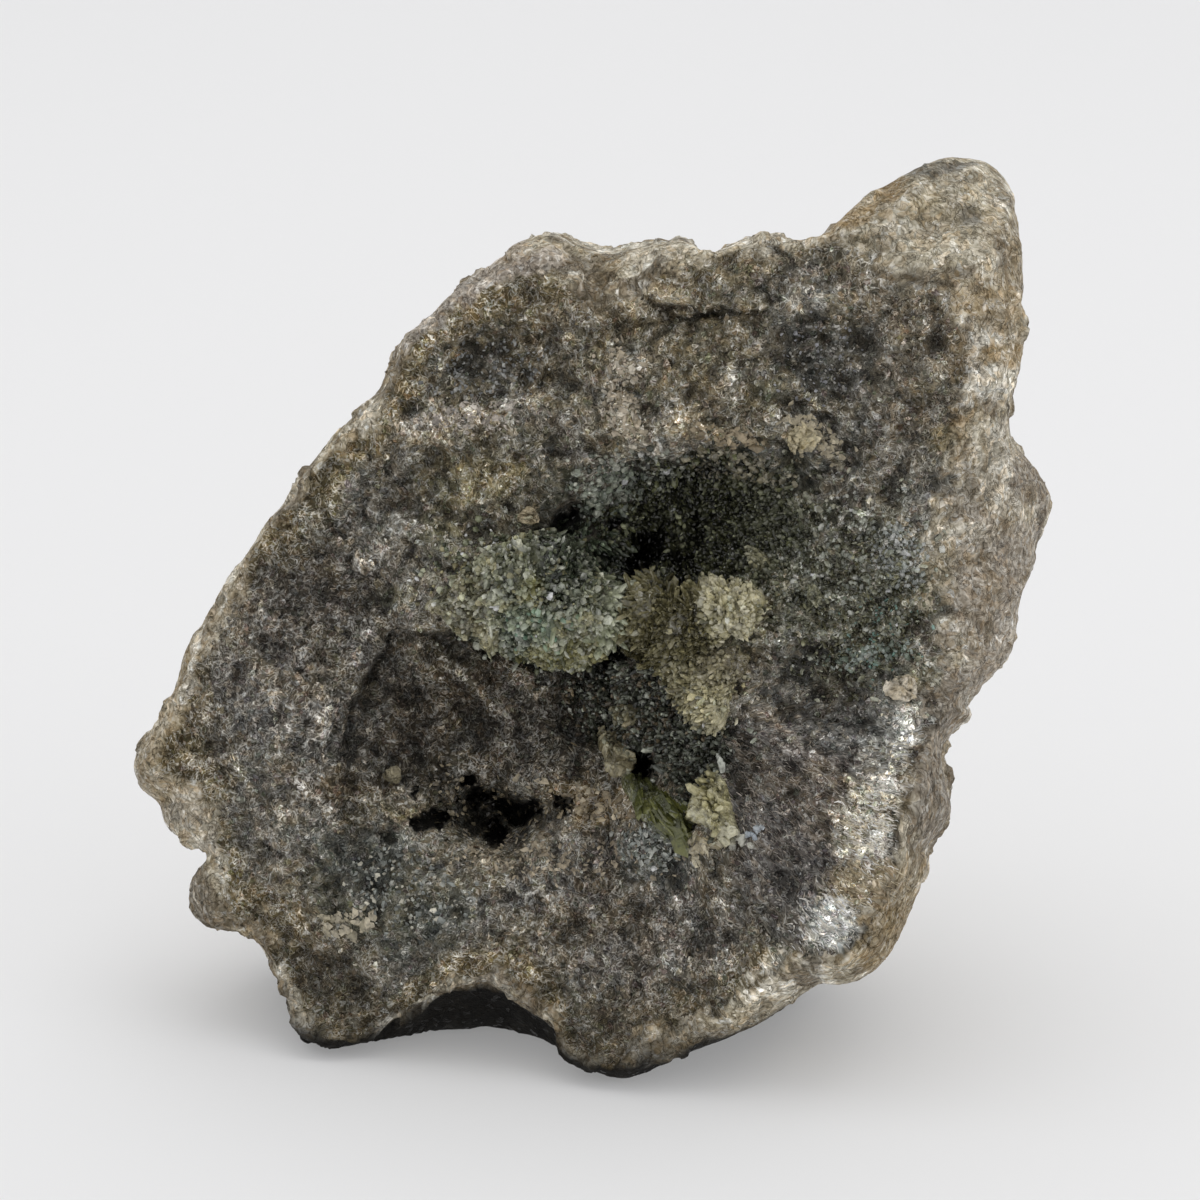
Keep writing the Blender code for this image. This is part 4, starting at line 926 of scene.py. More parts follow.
def host_rock_material():
    """Host rock: a fine-grained sandstone soaked with phosphate, broken by hand; its skin is weathered to a
    chalky cream. Broken, it is felted: dark grains with pale threads about a tenth of a millimetre thick
    that curl round them, drawn as coarse as they need to show. The attribute lay gives each point's place
    in the felt in millimetres, so a pattern's scale is 1 over its size."""
    made = bpy.data.materials.new("phosphate-soaked host rock, broken and weathered")
    made.use_nodes = True
    tree = made.node_tree
    shader = tree.nodes["Principled BSDF"]
    lay = node(tree, "Attribute", attribute_name="lay").outputs["Vector"]
    tint = node(tree, "Attribute", attribute_name="tint").outputs["Color"]
    skin = node(tree, "Attribute", attribute_name="skin").outputs["Fac"]
    thick = node(tree, "Attribute", attribute_name="threads").outputs["Fac"]

    # Everything is swayed by up to half a millimetre, so that no line stays straight
    sway = node(tree, "TexNoise", {"Vector": lay, "Scale": 1 / SWAY_MM, "Detail": 1.0}).outputs["Color"]
    sway = node(tree, "VectorMath", {0: sway, 1: (0.5, 0.5, 0.5)}, operation="SUBTRACT").outputs[0]
    swayed = {0: sway, 1: (1.2, 1.2, 1.2), 2: lay}
    swayed = node(tree, "VectorMath", swayed, operation="MULTIPLY_ADD").outputs[0]

    # Threads: where soft fields pass through their middle value, each with its shadow on one side
    lines = []
    for size, width, base in THREADS:
        field = {"Vector": swayed, "Scale": 1 / size, "Detail": 0.7, "Roughness": 0.5}
        field = node(tree, "TexNoise", field).outputs[0]
        stops = [
            (0.5 - 2 * width, base), (0.5 - width, base * 1.4), (0.5 - 0.75 * width, 1.5),
            (0.5 - 0.35 * width, 1.3), (0.5 - 0.1 * width, base), (0.5 + 0.5 * width, 0.02),
            (0.5 + 1.5 * width, base),
        ]
        lines.append(node(tree, "ValToRGB", {0: field}, stops=stops).outputs[0])
    felt = node(tree, "VectorMath", {0: lines[0], 1: lines[1]}, operation="ADD").outputs[0]
    felt = {0: lines[2], 1: (0.9, 0.9, 0.9), 2: felt}
    felt = node(tree, "VectorMath", felt, operation="MULTIPLY_ADD").outputs[0]

    # Ground: coloured grains, fine powder with dark gaps, and clouds
    grains = node(tree, "TexVoronoi", {"Vector": swayed, "Scale": 1 / GRAIN_MM})
    grain = node(tree, "SeparateColor", {0: grains.outputs["Color"]})
    cloud = {"Vector": lay, "Scale": 1 / CLOUD_MM, "Detail": 5.0, "Roughness": 0.75}
    cloud = node(tree, "TexNoise", cloud).outputs[0]
    fine = {"Vector": swayed, "Scale": 1 / POWDER_MM, "Detail": 1.0, "Roughness": 0.7}
    fine = node(tree, "TexNoise", fine).outputs[0]
    stops = [(0.34, 0.2), (0.46, 0.48), (0.54, 0.69), (0.66, 1.34)]
    ground = node(tree, "ValToRGB", {0: fine}, stops=stops).outputs[0]
    ground = node(tree, "Mix", {0: thick, 6: ground, 7: felt}, data_type="RGBA").outputs[2]
    stops = [(0.32, 0.27), (0.44, 0.40), (0.52, 0.48), (0.60, 0.57), (0.72, 0.70)]
    clouds = node(tree, "ValToRGB", {0: cloud}, stops=stops).outputs[0]
    felt = node(tree, "VectorMath", {0: ground, 1: clouds}, operation="MULTIPLY").outputs[0]
    felt = node(tree, "VectorMath", {0: felt, 3: 3.0}, operation="SCALE").outputs[0]
    stops = [(0.0, 0.66), (0.35, 0.95), (0.85, 1.06), (1.0, 1.45)]
    chips = node(tree, "ValToRGB", {0: grain.outputs[0]}, stops=stops).outputs[0]
    felt = node(tree, "VectorMath", {0: felt, 1: chips}, operation="MULTIPLY").outputs[0]

    # The weathered skin is chalkier: the widest threads, worn faint, over fine powder, clouds and cracks
    stops = [(0.34, 0.62), (0.43, 0.90), (0.54, 1.03), (0.66, 1.16)]
    powder = node(tree, "ValToRGB", {0: fine}, stops=stops).outputs[0]
    stops = [(0.34, 0.50), (0.42, 0.80), (0.50, 1.0), (0.60, 1.12), (0.70, 1.2)]
    worn = node(tree, "ValToRGB", {0: cloud}, stops=stops).outputs[0]
    worn = node(tree, "VectorMath", {0: powder, 1: worn}, operation="MULTIPLY").outputs[0]
    upright = node(tree, "VectorMath", {0: lay, 1: (1.0, 1.0, 0.6)}, operation="MULTIPLY").outputs[0]
    cracks = {"Vector": upright, "Scale": 1 / CRACK_MM, "Detail": 4.0, "Roughness": 0.62}
    cracks = node(tree, "TexNoise", cracks).outputs[0]
    # Painted shade and light: each crack is a dark line, and the plates between brighten towards their edges
    # like lit steps
    stops = [
        (0.30, 0.80), (0.40, 1.0), (0.49, 1.1), (0.5, 0.5), (0.512, 0.86), (0.58, 1.04), (0.60, 1.12),
        (0.605, 0.62), (0.63, 0.95),
    ]
    gaps = node(tree, "ValToRGB", {0: cracks}, stops=stops).outputs[0]
    worn = node(tree, "VectorMath", {0: gaps, 1: worn}, operation="MULTIPLY").outputs[0]
    worn = node(tree, "VectorMath", {0: worn, 3: 1.3}, operation="SCALE").outputs[0]
    faint = {0: lines[2], 1: (0.3, 0.3, 0.3), 2: (0.92, 0.92, 0.92)}
    faint = node(tree, "VectorMath", faint, operation="MULTIPLY_ADD").outputs[0]
    worn = node(tree, "VectorMath", {0: worn, 1: faint}, operation="MULTIPLY").outputs[0]
    worn = node(tree, "VectorMath", {0: worn, 1: chips}, operation="MULTIPLY").outputs[0]
    felt = node(tree, "Mix", {0: skin, 6: felt, 7: worn}, data_type="RGBA").outputs[2]

    # The paler a thread, the less of the ground's colour it keeps
    bleach = node(tree, "MapRange", {0: felt, 1: 0.7, 2: 2.2, 3: 0.0, 4: 0.8}).outputs[0]
    grey = node(tree, "RGBToBW", {0: tint}).outputs[0]
    grey = node(tree, "VectorMath", {0: grey, 1: (1.02, 1.0, 0.94)}, operation="MULTIPLY").outputs[0]
    tint = node(tree, "Mix", {0: bleach, 6: tint, 7: grey}, data_type="RGBA").outputs[2]
    colour = node(tree, "VectorMath", {0: tint, 1: felt}, operation="MULTIPLY").outputs[0]

    # Some grains lean to rust, some to slate
    stops = [(0.0, (1.08, 0.99, 0.88)), (0.35, 1.0), (0.65, 1.0), (1.0, (0.95, 0.99, 1.04))]
    hue = node(tree, "ValToRGB", {0: grain.outputs[1]}, stops=stops).outputs[0]
    colour = node(tree, "VectorMath", {0: colour, 1: hue}, operation="MULTIPLY").outputs[0]
    tree.links.new(colour, shader.inputs["Base Color"])

    # One grain in twelve is a glassy face
    gloss = node(tree, "ValToRGB", {0: grain.outputs[2]}, stops=[(0.90, 0.8), (0.93, 0.3)]).outputs[0]
    tree.links.new(gloss, shader.inputs["Roughness"])
    shader.inputs["IOR"].default_value = 1.5
    shader.inputs["Specular IOR Level"].default_value = 0.2
    height = node(tree, "Math", {0: lines[0], 1: 0.6, 2: fine}, operation="MULTIPLY_ADD").outputs[0]
    height = node(tree, "Math", {0: gaps, 1: 1.0, 2: height}, operation="MULTIPLY_ADD").outputs[0]
    bump = node(tree, "Bump", {"Height": height, "Strength": 1.0, "Distance": 0.0002})
    tree.links.new(bump.outputs[0], shader.inputs["Normal"])
    return made


def crystal_material(name, transmission, roughness, ior=1.61):
    """Anapaite, a hydrated calcium iron phosphate grown from solution: translucent, glassy faces, each
    crystal clouded a little inside."""
    made = bpy.data.materials.new(name)
    made.use_nodes = True
    tree = made.node_tree
    shader = tree.nodes["Principled BSDF"]
    place = node(tree, "TexCoord").outputs["Object"]
    tint = node(tree, "Attribute", attribute_name="tint").outputs["Color"]
    cloud = {"Vector": place, "Scale": per_mm(0.6), "Detail": 4.0, "Roughness": 0.65}
    cloud = node(tree, "TexNoise", cloud).outputs[0]
    stops = [(0.32, 0.35), (0.5, 0.85), (0.62, 1.0), (0.8, 1.0)]
    cloud = node(tree, "ValToRGB", {0: cloud}, stops=stops).outputs[0]
    colour = node(tree, "VectorMath", {0: tint, 1: cloud}, operation="MULTIPLY").outputs[0]
    tree.links.new(colour, shader.inputs["Base Color"])
    shader.inputs["Transmission Weight"].default_value = transmission
    shader.inputs["Roughness"].default_value = roughness
    shader.inputs["IOR"].default_value = ior
    grain = {"Vector": place, "Scale": per_mm(0.35), "Detail": 3.0, "Roughness": 0.6}
    grain = node(tree, "TexNoise", grain).outputs[0]
    bump = node(tree, "Bump", {"Height": grain, "Strength": 0.6, "Distance": 0.00012})
    tree.links.new(bump.outputs[0], shader.inputs["Normal"])
    return made


def make_piece(name, points, faces, material, tint, replaced=(), slot=None, smooth=False, **values):
    """Puts millimetre points and triangles or quads into a mesh, with a colour and other values at each
    point. Hides the parts of the source that the piece stands for, if any. The slot is not used."""
    mesh = bpy.data.meshes.new(name)
    corners = np.concatenate([group.reshape(-1) for group in faces]).astype(np.int32)
    sizes = np.concatenate([np.full(len(group), group.shape[1], np.int32) for group in faces])
    mesh.vertices.add(len(points))
    mesh.vertices.foreach_set("co", (points * MM).astype(np.float32).ravel())
    mesh.loops.add(len(corners))
    mesh.loops.foreach_set("vertex_index", corners)
    mesh.polygons.add(len(sizes))
    starts = np.concatenate([[0], np.cumsum(sizes)[:-1]])
    mesh.polygons.foreach_set("loop_start", starts.astype(np.int32))
    mesh.polygons.foreach_set("use_smooth", np.full(len(sizes), smooth))
    mesh.update(calc_edges=True)
    colour = mesh.attributes.new("tint", "FLOAT_COLOR", "POINT")
    opaque = np.concatenate([tint, np.ones((len(points), 1))], 1)
    colour.data.foreach_set("color", opaque.astype(np.float32).ravel())
    for key, value in values.items():
        flat = value.ndim == 1
        layer = mesh.attributes.new(key, "FLOAT" if flat else "FLOAT_VECTOR", "POINT")
        layer.data.foreach_set("value" if flat else "vector", value.astype(np.float32).ravel())
    mesh.materials.append(material)
    piece = bpy.data.objects.new(name, mesh)
    bpy.context.scene.collection.objects.link(piece)
    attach(piece, "root")
    if replaced:
        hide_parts(*replaced)


def ring_faces(rings, columns):
    """Quads between the rings of a grid that closes round, and a fan to a pole inside the first ring and
    past the last. The two poles come after the grid's points."""
    index = np.arange(rings * columns).reshape(rings, columns)
    here, there = index[:-1], index[1:]
    quads = np.stack([there, np.roll(there, -1, 1), np.roll(here, -1, 1), here], -1).reshape(-1, 4)
    first, last = np.full(columns, rings * columns), np.full(columns, rings * columns + 1)
    fan = np.concatenate([
        np.stack([index[0], np.roll(index[0], -1), first], -1),
        np.stack([np.roll(index[-1], -1), index[-1], last], -1),
    ])
    return quads, fan


def make_lump(material):
    """The host rock: a grid of rings over the face, the rim and the back, closed by a fan at each pole. Face
    points take the broken face's colour and back points the skin's, with a ragged line between them."""
    # The superellipse of the back runs fast at both ends, so its rings crowd there
    even = np.linspace(0, 1, BACK_RINGS)
    crowded = even**CROWDING / (even**CROWDING + (1 - even) ** CROWDING)
    shares = np.concatenate([
        np.linspace(0.002, RIM_SHARE, FACE_RINGS, endpoint=False),
        np.linspace(RIM_SHARE, SKIN_SHARE, BAND_RINGS, endpoint=False),
        SKIN_SHARE + (0.998 - SKIN_SHARE) * crowded,
    ])
    bearings = np.arange(ROUND) * 2 * math.pi / ROUND - math.pi
    share, bearing = np.meshgrid(shares, bearings, indexing="ij")
    sight = lump_points(bearing, share)
    behind = smoothstep(SKIN_SHARE, SKIN_SHARE + 0.05, share)
    placed = arch_underside(stand(sight), behind, share > SKIN_SHARE)

    # Wrinkles, blocky breaks and pits of the weathered skin, along its normals
    skin = smoothstep(-0.012, 0.006, share - RIM_SHARE + 0.02 * fractal(placed, 3.0, 401, 4, 0.65))
    layered = 1.1 * bedding(placed)
    wrinkles = 0.42 * terraces(fractal(layered, 5.0, 411, 3, 0.6), 3)
    wrinkles = wrinkles + 0.2 * facets(layered, 2.8, 421, 0.7)
    wrinkles = wrinkles + 0.10 * fractal(placed, 1.1, 441, 2)
    pits = -0.5 * smoothstep(0.4, 0.7, fractal(placed, 2.4, 431, 2))
    at_edge = 1 - 0.75 * smoothstep(0.05, 0.0, np.abs(share - SKIN_SHARE))
    rise = skin * at_edge * (wrinkles + pits - 0.1) * smoothstep(0.3, 1.5, placed[..., 2])
    placed = placed + grid_normals(placed) * rise[..., None]
    placed[..., 2] = np.maximum(placed[..., 2], 0)

    # Colours, and each point's place in the felt
    x, z = sight[..., 0], sight[..., 2]
    tint, threads = on_map("tint", x, z), on_map("threads", x, z)
    skin_colour = skin_tint(placed, x, z, 1 - behind)
    tint = tint + (skin_colour - tint) * skin[..., None]
    threads = threads + (0.35 - threads) * skin
    on_skin = smoothstep(RIM_SHARE, SKIN_SHARE, share)[..., None]
    lay = placed + fan_shift(x, z) * (1 - on_skin)

    def with_poles(values):
        """A grid's values in one row, and after them the means of its first and its last ring."""
        width = values.shape[2:]
        ends = [values[0].mean(0)[None], values[-1].mean(0)[None]]
        return np.concatenate([values.reshape((-1,) + width)] + ends)

    make_piece(
        "host_rock", with_poles(placed), ring_faces(*share.shape), material, with_poles(tint),
        ["matrix_rock"], "matrix_rock", True,
        skin=with_poles(skin), threads=with_poles(threads), lay=with_poles(lay),
    )


def seats(x, z):
    """Places on the broken face and the normals there, in the standing frame."""
    normal = on_map("normal", x, z)
    return on_map("place", x, z), normal / np.linalg.norm(normal, axis=-1, keepdims=True)


def square_to(direction, spin):
    """Two unit vectors square to each direction and to each other, turned about it by spin."""
    side = np.cross(direction, np.array([0.31, 0.52, 0.79]))
    side /= np.linalg.norm(side, axis=-1, keepdims=True)
    other = np.cross(direction, side)
    cos, sin = np.cos(spin)[:, None], np.sin(spin)[:, None]
    return side * cos + other * sin, other * cos - side * sin


def blade_shapes(roots, direction, length, width, thickness, spin, pick):
    """Bladed crystals: a flattened six-sided ring at the root, another near the end and a slanted tip, with
    flat sides between them."""
    side, other = square_to(direction, spin)
    angle = np.arange(6) * math.pi / 3
    cross = np.stack([np.cos(angle) * width[:, None] / 2, np.sin(angle) * thickness[:, None] / 2], -1)
    rings = []
    for along, scale in ((-0.25, 0.85), (0.72, 0.9)):
        ring = roots[:, None] + direction[:, None] * (along * length)[:, None, None]
        rings.append(ring + side[:, None] * cross[..., :1] * scale + other[:, None] * cross[..., 1:] * scale)
    slant = pick.uniform(-0.3, 0.3, (len(roots), 1)) * width[:, None]
    tip = roots + direction * length[:, None] + side * slant
    k = np.arange(6)
    n = (k + 1) % 6
    sides = np.concatenate([np.stack([k, n, n + 6], -1), np.stack([k, n + 6, k + 6], -1)])
    ends = np.stack([k + 6, n + 6, np.full(6, 12)], -1)
    base = np.array([[0, 2, 1], [0, 3, 2], [0, 4, 3], [0, 5, 4]])
    return np.concatenate([rings[0], rings[1], tip[:, None]], axis=1), np.concatenate([sides, ends, base])


def grain_shapes(roots, direction, length, width, thickness, spin, pick):
    """Crystal grains: a twenty-faced ball with each corner pushed in or out at random, stretched along the
    direction."""
    golden = (1 + math.sqrt(5)) / 2
    ball = np.array([(0.0, a, b * golden) for a in (-1, 1) for b in (-1, 1)])
    ball = np.concatenate([ball, np.roll(ball, 1, 1), np.roll(ball, 2, 1)]) / math.hypot(1, golden)
    i, j, k = (grid.ravel() for grid in np.meshgrid(*[np.arange(12)] * 3, indexing="ij"))
    near = np.linalg.norm(ball[:, None] - ball[None], axis=-1) < 1.2
    outward = np.einsum("ij,ij->i", np.cross(ball[j] - ball[i], ball[k] - ball[i]), ball[i]) > 0
    kept = (i < j) & (i < k) & (j != k) & near[i, j] & near[j, k] & near[i, k] & outward
    faces = np.stack([i, j, k], -1)[kept]
    side, other = square_to(direction, spin)
    rough = ball[None] * pick.uniform(0.72, 1.2, (len(roots), 12, 1))
    points = roots[:, None] + rough[..., :1] * side[:, None] * width[:, None, None] / 2
    points = points + rough[..., 1:2] * other[:, None] * thickness[:, None, None] / 2
    return points + (rough[..., 2:] * 0.5 + 0.2) * direction[:, None] * length[:, None, None], faces


def thread_shapes(roots, direction, length, width, thickness, spin, pick):
    """Curled threads: a three-sided tube along an arc that leaves its root, bends to one side and comes back
    down. Direction is the way it sets off, and spin turns the plane that it bends in."""
    side, other = square_to(direction, spin)
    t = np.linspace(-0.5, 0.5, 5)
    bend = pick.normal(0, 0.9, (len(roots), 1))
    twist = pick.normal(0, 0.5, (len(roots), 1))
    path = roots[:, None] + direction[:, None] * (t * length[:, None])[..., None]
    path = path + side[:, None] * ((t**2 * bend + t**3 * twist * 2) * length[:, None])[..., None]
    angle = np.arange(3) * 2 * math.pi / 3
    girth = np.array([0.35, 0.9, 1.0, 0.8, 0.3])[:, None]
    cross = girth * np.cos(angle) * 0.5
    rise = girth * np.sin(angle) * 0.5
    points = path[:, :, None] + side[:, None, None] * (cross * width[:, None, None])[..., None]
    points = points + other[:, None, None] * (rise * thickness[:, None, None])[..., None]
    ring, corner = np.meshgrid(np.arange(4), np.arange(3), indexing="ij")
    a, b = (ring * 3 + corner).ravel(), (ring * 3 + (corner + 1) % 3).ravel()
    sides = np.concatenate([np.stack([a, b, b + 3], -1), np.stack([a, b + 3, a + 3], -1)])
    ends = np.array([[0, 2, 1], [12, 13, 14]])
    return points.reshape(len(roots), 15, 3), np.concatenate([sides, ends])


def flake_shapes(roots, direction, length, width, thickness, spin, pick):
    """Flakes: a thin five-sided chip with ragged corners, lying square to its direction, thinner at the edge
    than at its middle."""
    side, other = square_to(direction, spin)
    angle = np.arange(5) * 2 * math.pi / 5 + pick.uniform(-0.35, 0.35, (len(roots), 5))
    out = pick.uniform(0.6, 1.15, (len(roots), 5)) / 2
    rim = roots[:, None] + side[:, None] * (np.cos(angle) * out * length[:, None])[..., None]
    rim = rim + other[:, None] * (np.sin(angle) * out * width[:, None])[..., None]
    lift = direction * (thickness / 2)[:, None]
    k = np.arange(5)
    n = (k + 1) % 5
    faces = np.concatenate([np.stack([k, n, np.full(5, 5)], -1), np.stack([n, k, np.full(5, 6)], -1)])
    return np.concatenate([rim, (roots + lift)[:, None], (roots - lift)[:, None]], axis=1), faces


def in_ellipse(pick, count, middle, half_sizes, turn_deg):
    """Places spread over an ellipse of the face, thinning out past its edge."""
    out = np.sqrt(pick.random(count)) * pick.lognormal(0, 0.22, count)
    bearing = pick.random(count) * 2 * math.pi
    along, across = half_sizes[0] * out * np.cos(bearing), half_sizes[1] * out * np.sin(bearing)
    return from_ellipse(middle, along, across, turn_deg)


def over_face(pick, count, margin=0.985):
    """Places spread evenly over the whole broken face, to a share of the way out to its rim."""
    bearing = pick.uniform(-math.pi, math.pi, count * 3)
    radius = reach(RIM_OUTLINE, bearing)
    kept = np.flatnonzero(pick.random(count * 3) < (radius / radius.max()) ** 2)[:count]
    radius = radius[kept] * np.sqrt(pick.random(len(kept))) * margin
    bearing = bearing[kept]
    return FACE_MIDDLE[0] + radius * np.cos(bearing), FACE_MIDDLE[1] + radius * np.sin(bearing)


LARGEST = 1.9  # no small piece is larger than this many times its usual size


def grow(
    pick, x, z, shape, length, width, flat, lean, vary=0.3, lift=0.0, fan=None, spread=1.0, flatten=False
):
    """Small pieces of one shape at places on the face, standing along the normal, leaning at random or away
    from a fan's heart. Flattened ones lie along the face, pointing away from that heart if there is one."""
    count = len(x)
    roots, normal = seats(x, z)
    direction = normal + lean * pick.normal(0, 0.6, (count, 3))
    if fan:
        heart = seats(np.array([fan[0]]), np.array([fan[1]]))[0][0]
        outward = roots - heart
        outward /= np.maximum(np.linalg.norm(outward, axis=-1, keepdims=True), 1e-6)
        direction = direction + spread * outward
    if flatten:
        direction = direction - normal * (direction * normal).sum(-1, keepdims=True) * 0.9
    direction /= np.linalg.norm(direction, axis=-1, keepdims=True)
    size = np.minimum(pick.lognormal(0, vary, count), LARGEST)
    roots = roots + normal * (on_map("crust", x, z) + lift)[:, None]
    spin = pick.uniform(0, math.pi, count)
    return shape(roots, direction, length * size, width * size, width * flat * size, spin, pick)


def join(name, groups, material, replaced=(), slot=None, **values):
    """One mesh of many small pieces, from groups of their points, their common faces and one tint each.
    Where other values are given, they are the same at every point, and lay is where the point stands."""
    points, faces, tints, start = [], [], [], 0
    for shapes, triangles, tint in groups:
        corners = shapes.shape[1]
        first = start + corners * np.arange(len(shapes))
        faces.append((triangles[None] + first[:, None, None]).reshape(-1, 3))
        points.append(shapes.reshape(-1, 3))
        tints.append(np.repeat(np.clip(tint, 0, 0.95), corners, axis=0))
        start += shapes.shape[0] * corners
    points, tints = np.concatenate(points), np.concatenate(tints)
    spread = {key: np.full(len(points), value) for key, value in values.items()}
    if values:
        spread["lay"] = points
    make_piece(name, points, [np.concatenate(faces)], material, tints, replaced, slot, **spread)


FOLLOW = 0.5  # how far crystals on a crust take its colour under them
# Painted shade: off the crusts, crystals take on the darkness of the rock under them, painted shade in
# hollows and pits
ROCK_SHADE_LIMIT = 0.03  # off the crusts, crystals darken with the rock under them where it is darker than this


def make_crystals(name, patches, material, seed, replaced=(), slot=None):
    """Many small crystals in one mesh, from rows of patches. Those on a crust take part of its colour, and
    the others darken with the rock under them, taking on its painted shade where it is dark."""
    pick = np.random.default_rng(seed)
    groups = []
    for shape, count, middle, half_sizes, turn_deg, colours, mottle, options in patches:
        x, z = in_ellipse(pick, count, middle, half_sizes, turn_deg)
        points, faces = grow(pick, x, z, shape, **options)
        colours = np.array([linear(colour) for colour in colours])
        tint = colours[pick.integers(0, len(colours), count)] * pick.lognormal(0, mottle, (count, 1))
        share = FOLLOW * smoothstep(0.1, 0.3, on_map("crust", x, z))[:, None]
        under = on_map("crust_tint", x, z) * pick.lognormal(0.25, mottle, (count, 1))
        tint = tint + (under - tint) * share
        # Painted shade carried from the dark rock onto the crystals
        shade = np.clip(on_map("tint", x, z).mean(-1, keepdims=True) / ROCK_SHADE_LIMIT, 0.15, 1)
        tint = tint * (shade + (1 - shade) * (share > 0))
        groups.append((points, faces, tint))
    join(name, groups, material, replaced, slot)


# Flakes and threads of the broken face: how many places are tried, and the colour that the threads lean to
FLAKE_COUNT, THREAD_COUNT, THREAD_COLOUR = 17000, 8000, "#aaa08e"


def make_face_flakes(material):
    """Chips of the felt standing a little off the broken face, coloured as the face is under them."""
    pick = np.random.default_rng(77)
    x, z = over_face(pick, FLAKE_COUNT)
    points, faces = grow(pick, x, z, flake_shapes, 0.66, 0.46, flat=0.35, lean=0.36, vary=0.4, lift=0.03)
    tint = on_map("tint", x, z) * pick.lognormal(0.0, 0.26, (len(x), 1))
    tint = tint * pick.lognormal(0.0, 0.05, (len(x), 3))
    join("face_flakes", [(points, faces, tint)], material, skin=0.0, threads=0.7)


def make_face_threads(material):
    """Pale threads curled on the broken face, where its stains say that they lie thick."""
    pick = np.random.default_rng(78)
    x, z = over_face(pick, THREAD_COUNT)
    tint, thick = on_map("tint", x, z), on_map("threads", x, z)
    kept = pick.random(len(x)) < thick * 0.8
    x, z, tint = x[kept], z[kept], tint[kept]
    points, faces = grow(pick, x, z, thread_shapes, 0.45, 0.1, flat=0.8, lean=1.6, lift=0.05, flatten=True)
    tint = 0.3 * linear(THREAD_COLOUR) * pick.lognormal(0, 0.25, (len(x), 1)) + 1.3 * tint
    join("face_threads", [(points, faces, tint)], material, skin=1.0, threads=0.0)


ROOT_DEPTH = 5.0  # how much deeper than its thickness a crust's root lies in the rock, in millimetres
CRUST_SKIRT = 0.16  # how far past its outline a crust goes down into the rock, as a share of the way out


def crust_form(x, z, share, thickness, lump, colours, stains, seed, stretch):
    """A crust's height off the face and its colour at places that lie at given shares of the way out to its
    edge: a low dome, rounded lumps of three sizes and small facets on it, and a steep drop at the edge. Each
    lump has a colour of its own, with painted shade in the creases between the lumps."""
    flat = on_plane(x, z)
    swayed = flat + 0.5 * np.stack([soft_noise(flat, 1.6, seed + k) for k in range(3)], axis=-1)
    swayed = swayed * np.array([1.0, stretch, 0.0])
    big, own = lumps(swayed, lump, seed + 10, True)
    small, own_small = lumps(swayed, lump * 0.42, seed + 20, True)
    fine, _ = lumps(swayed, lump * 0.2, seed + 25, True)
    body = thickness * np.clip(1 - np.minimum(share, 1) ** 5, 0, 1) ** 0.5
    height = body * (0.45 + 0.4 * fractal(flat, lump * 2.5, seed + 30, 2))
    height = height + lump * (0.5 * big + 0.26 * small + 0.1 * fine)
    height = height + 0.2 * lump * facets(swayed, lump * 0.5, seed + 40, 0.8, True)
    sunk = -0.9 * thickness * (share - 1) / CRUST_SKIRT - 0.3
    height = np.where(share > 1, sunk, height * smoothstep(1.04, 0.97, share) - 0.1)
    palette = np.array([linear(colour) for colour in colours])
    tint = palette[np.minimum((own * len(palette)).astype(int), len(palette) - 1)]
    tint = tint * (0.8 + 0.4 * own_small)[..., None]
    tint, _ = lay_stains(tint, np.zeros(x.shape), x, z, rags(x, z), stains)
    # Painted shade in the creases between the lumps
    painted_crease_shade = smoothstep(0.05, 0.75, big) * 0.55 + smoothstep(0.0, 0.7, small) * 0.45
    return height, tint * (0.3 + 0.7 * painted_crease_shade)[..., None]


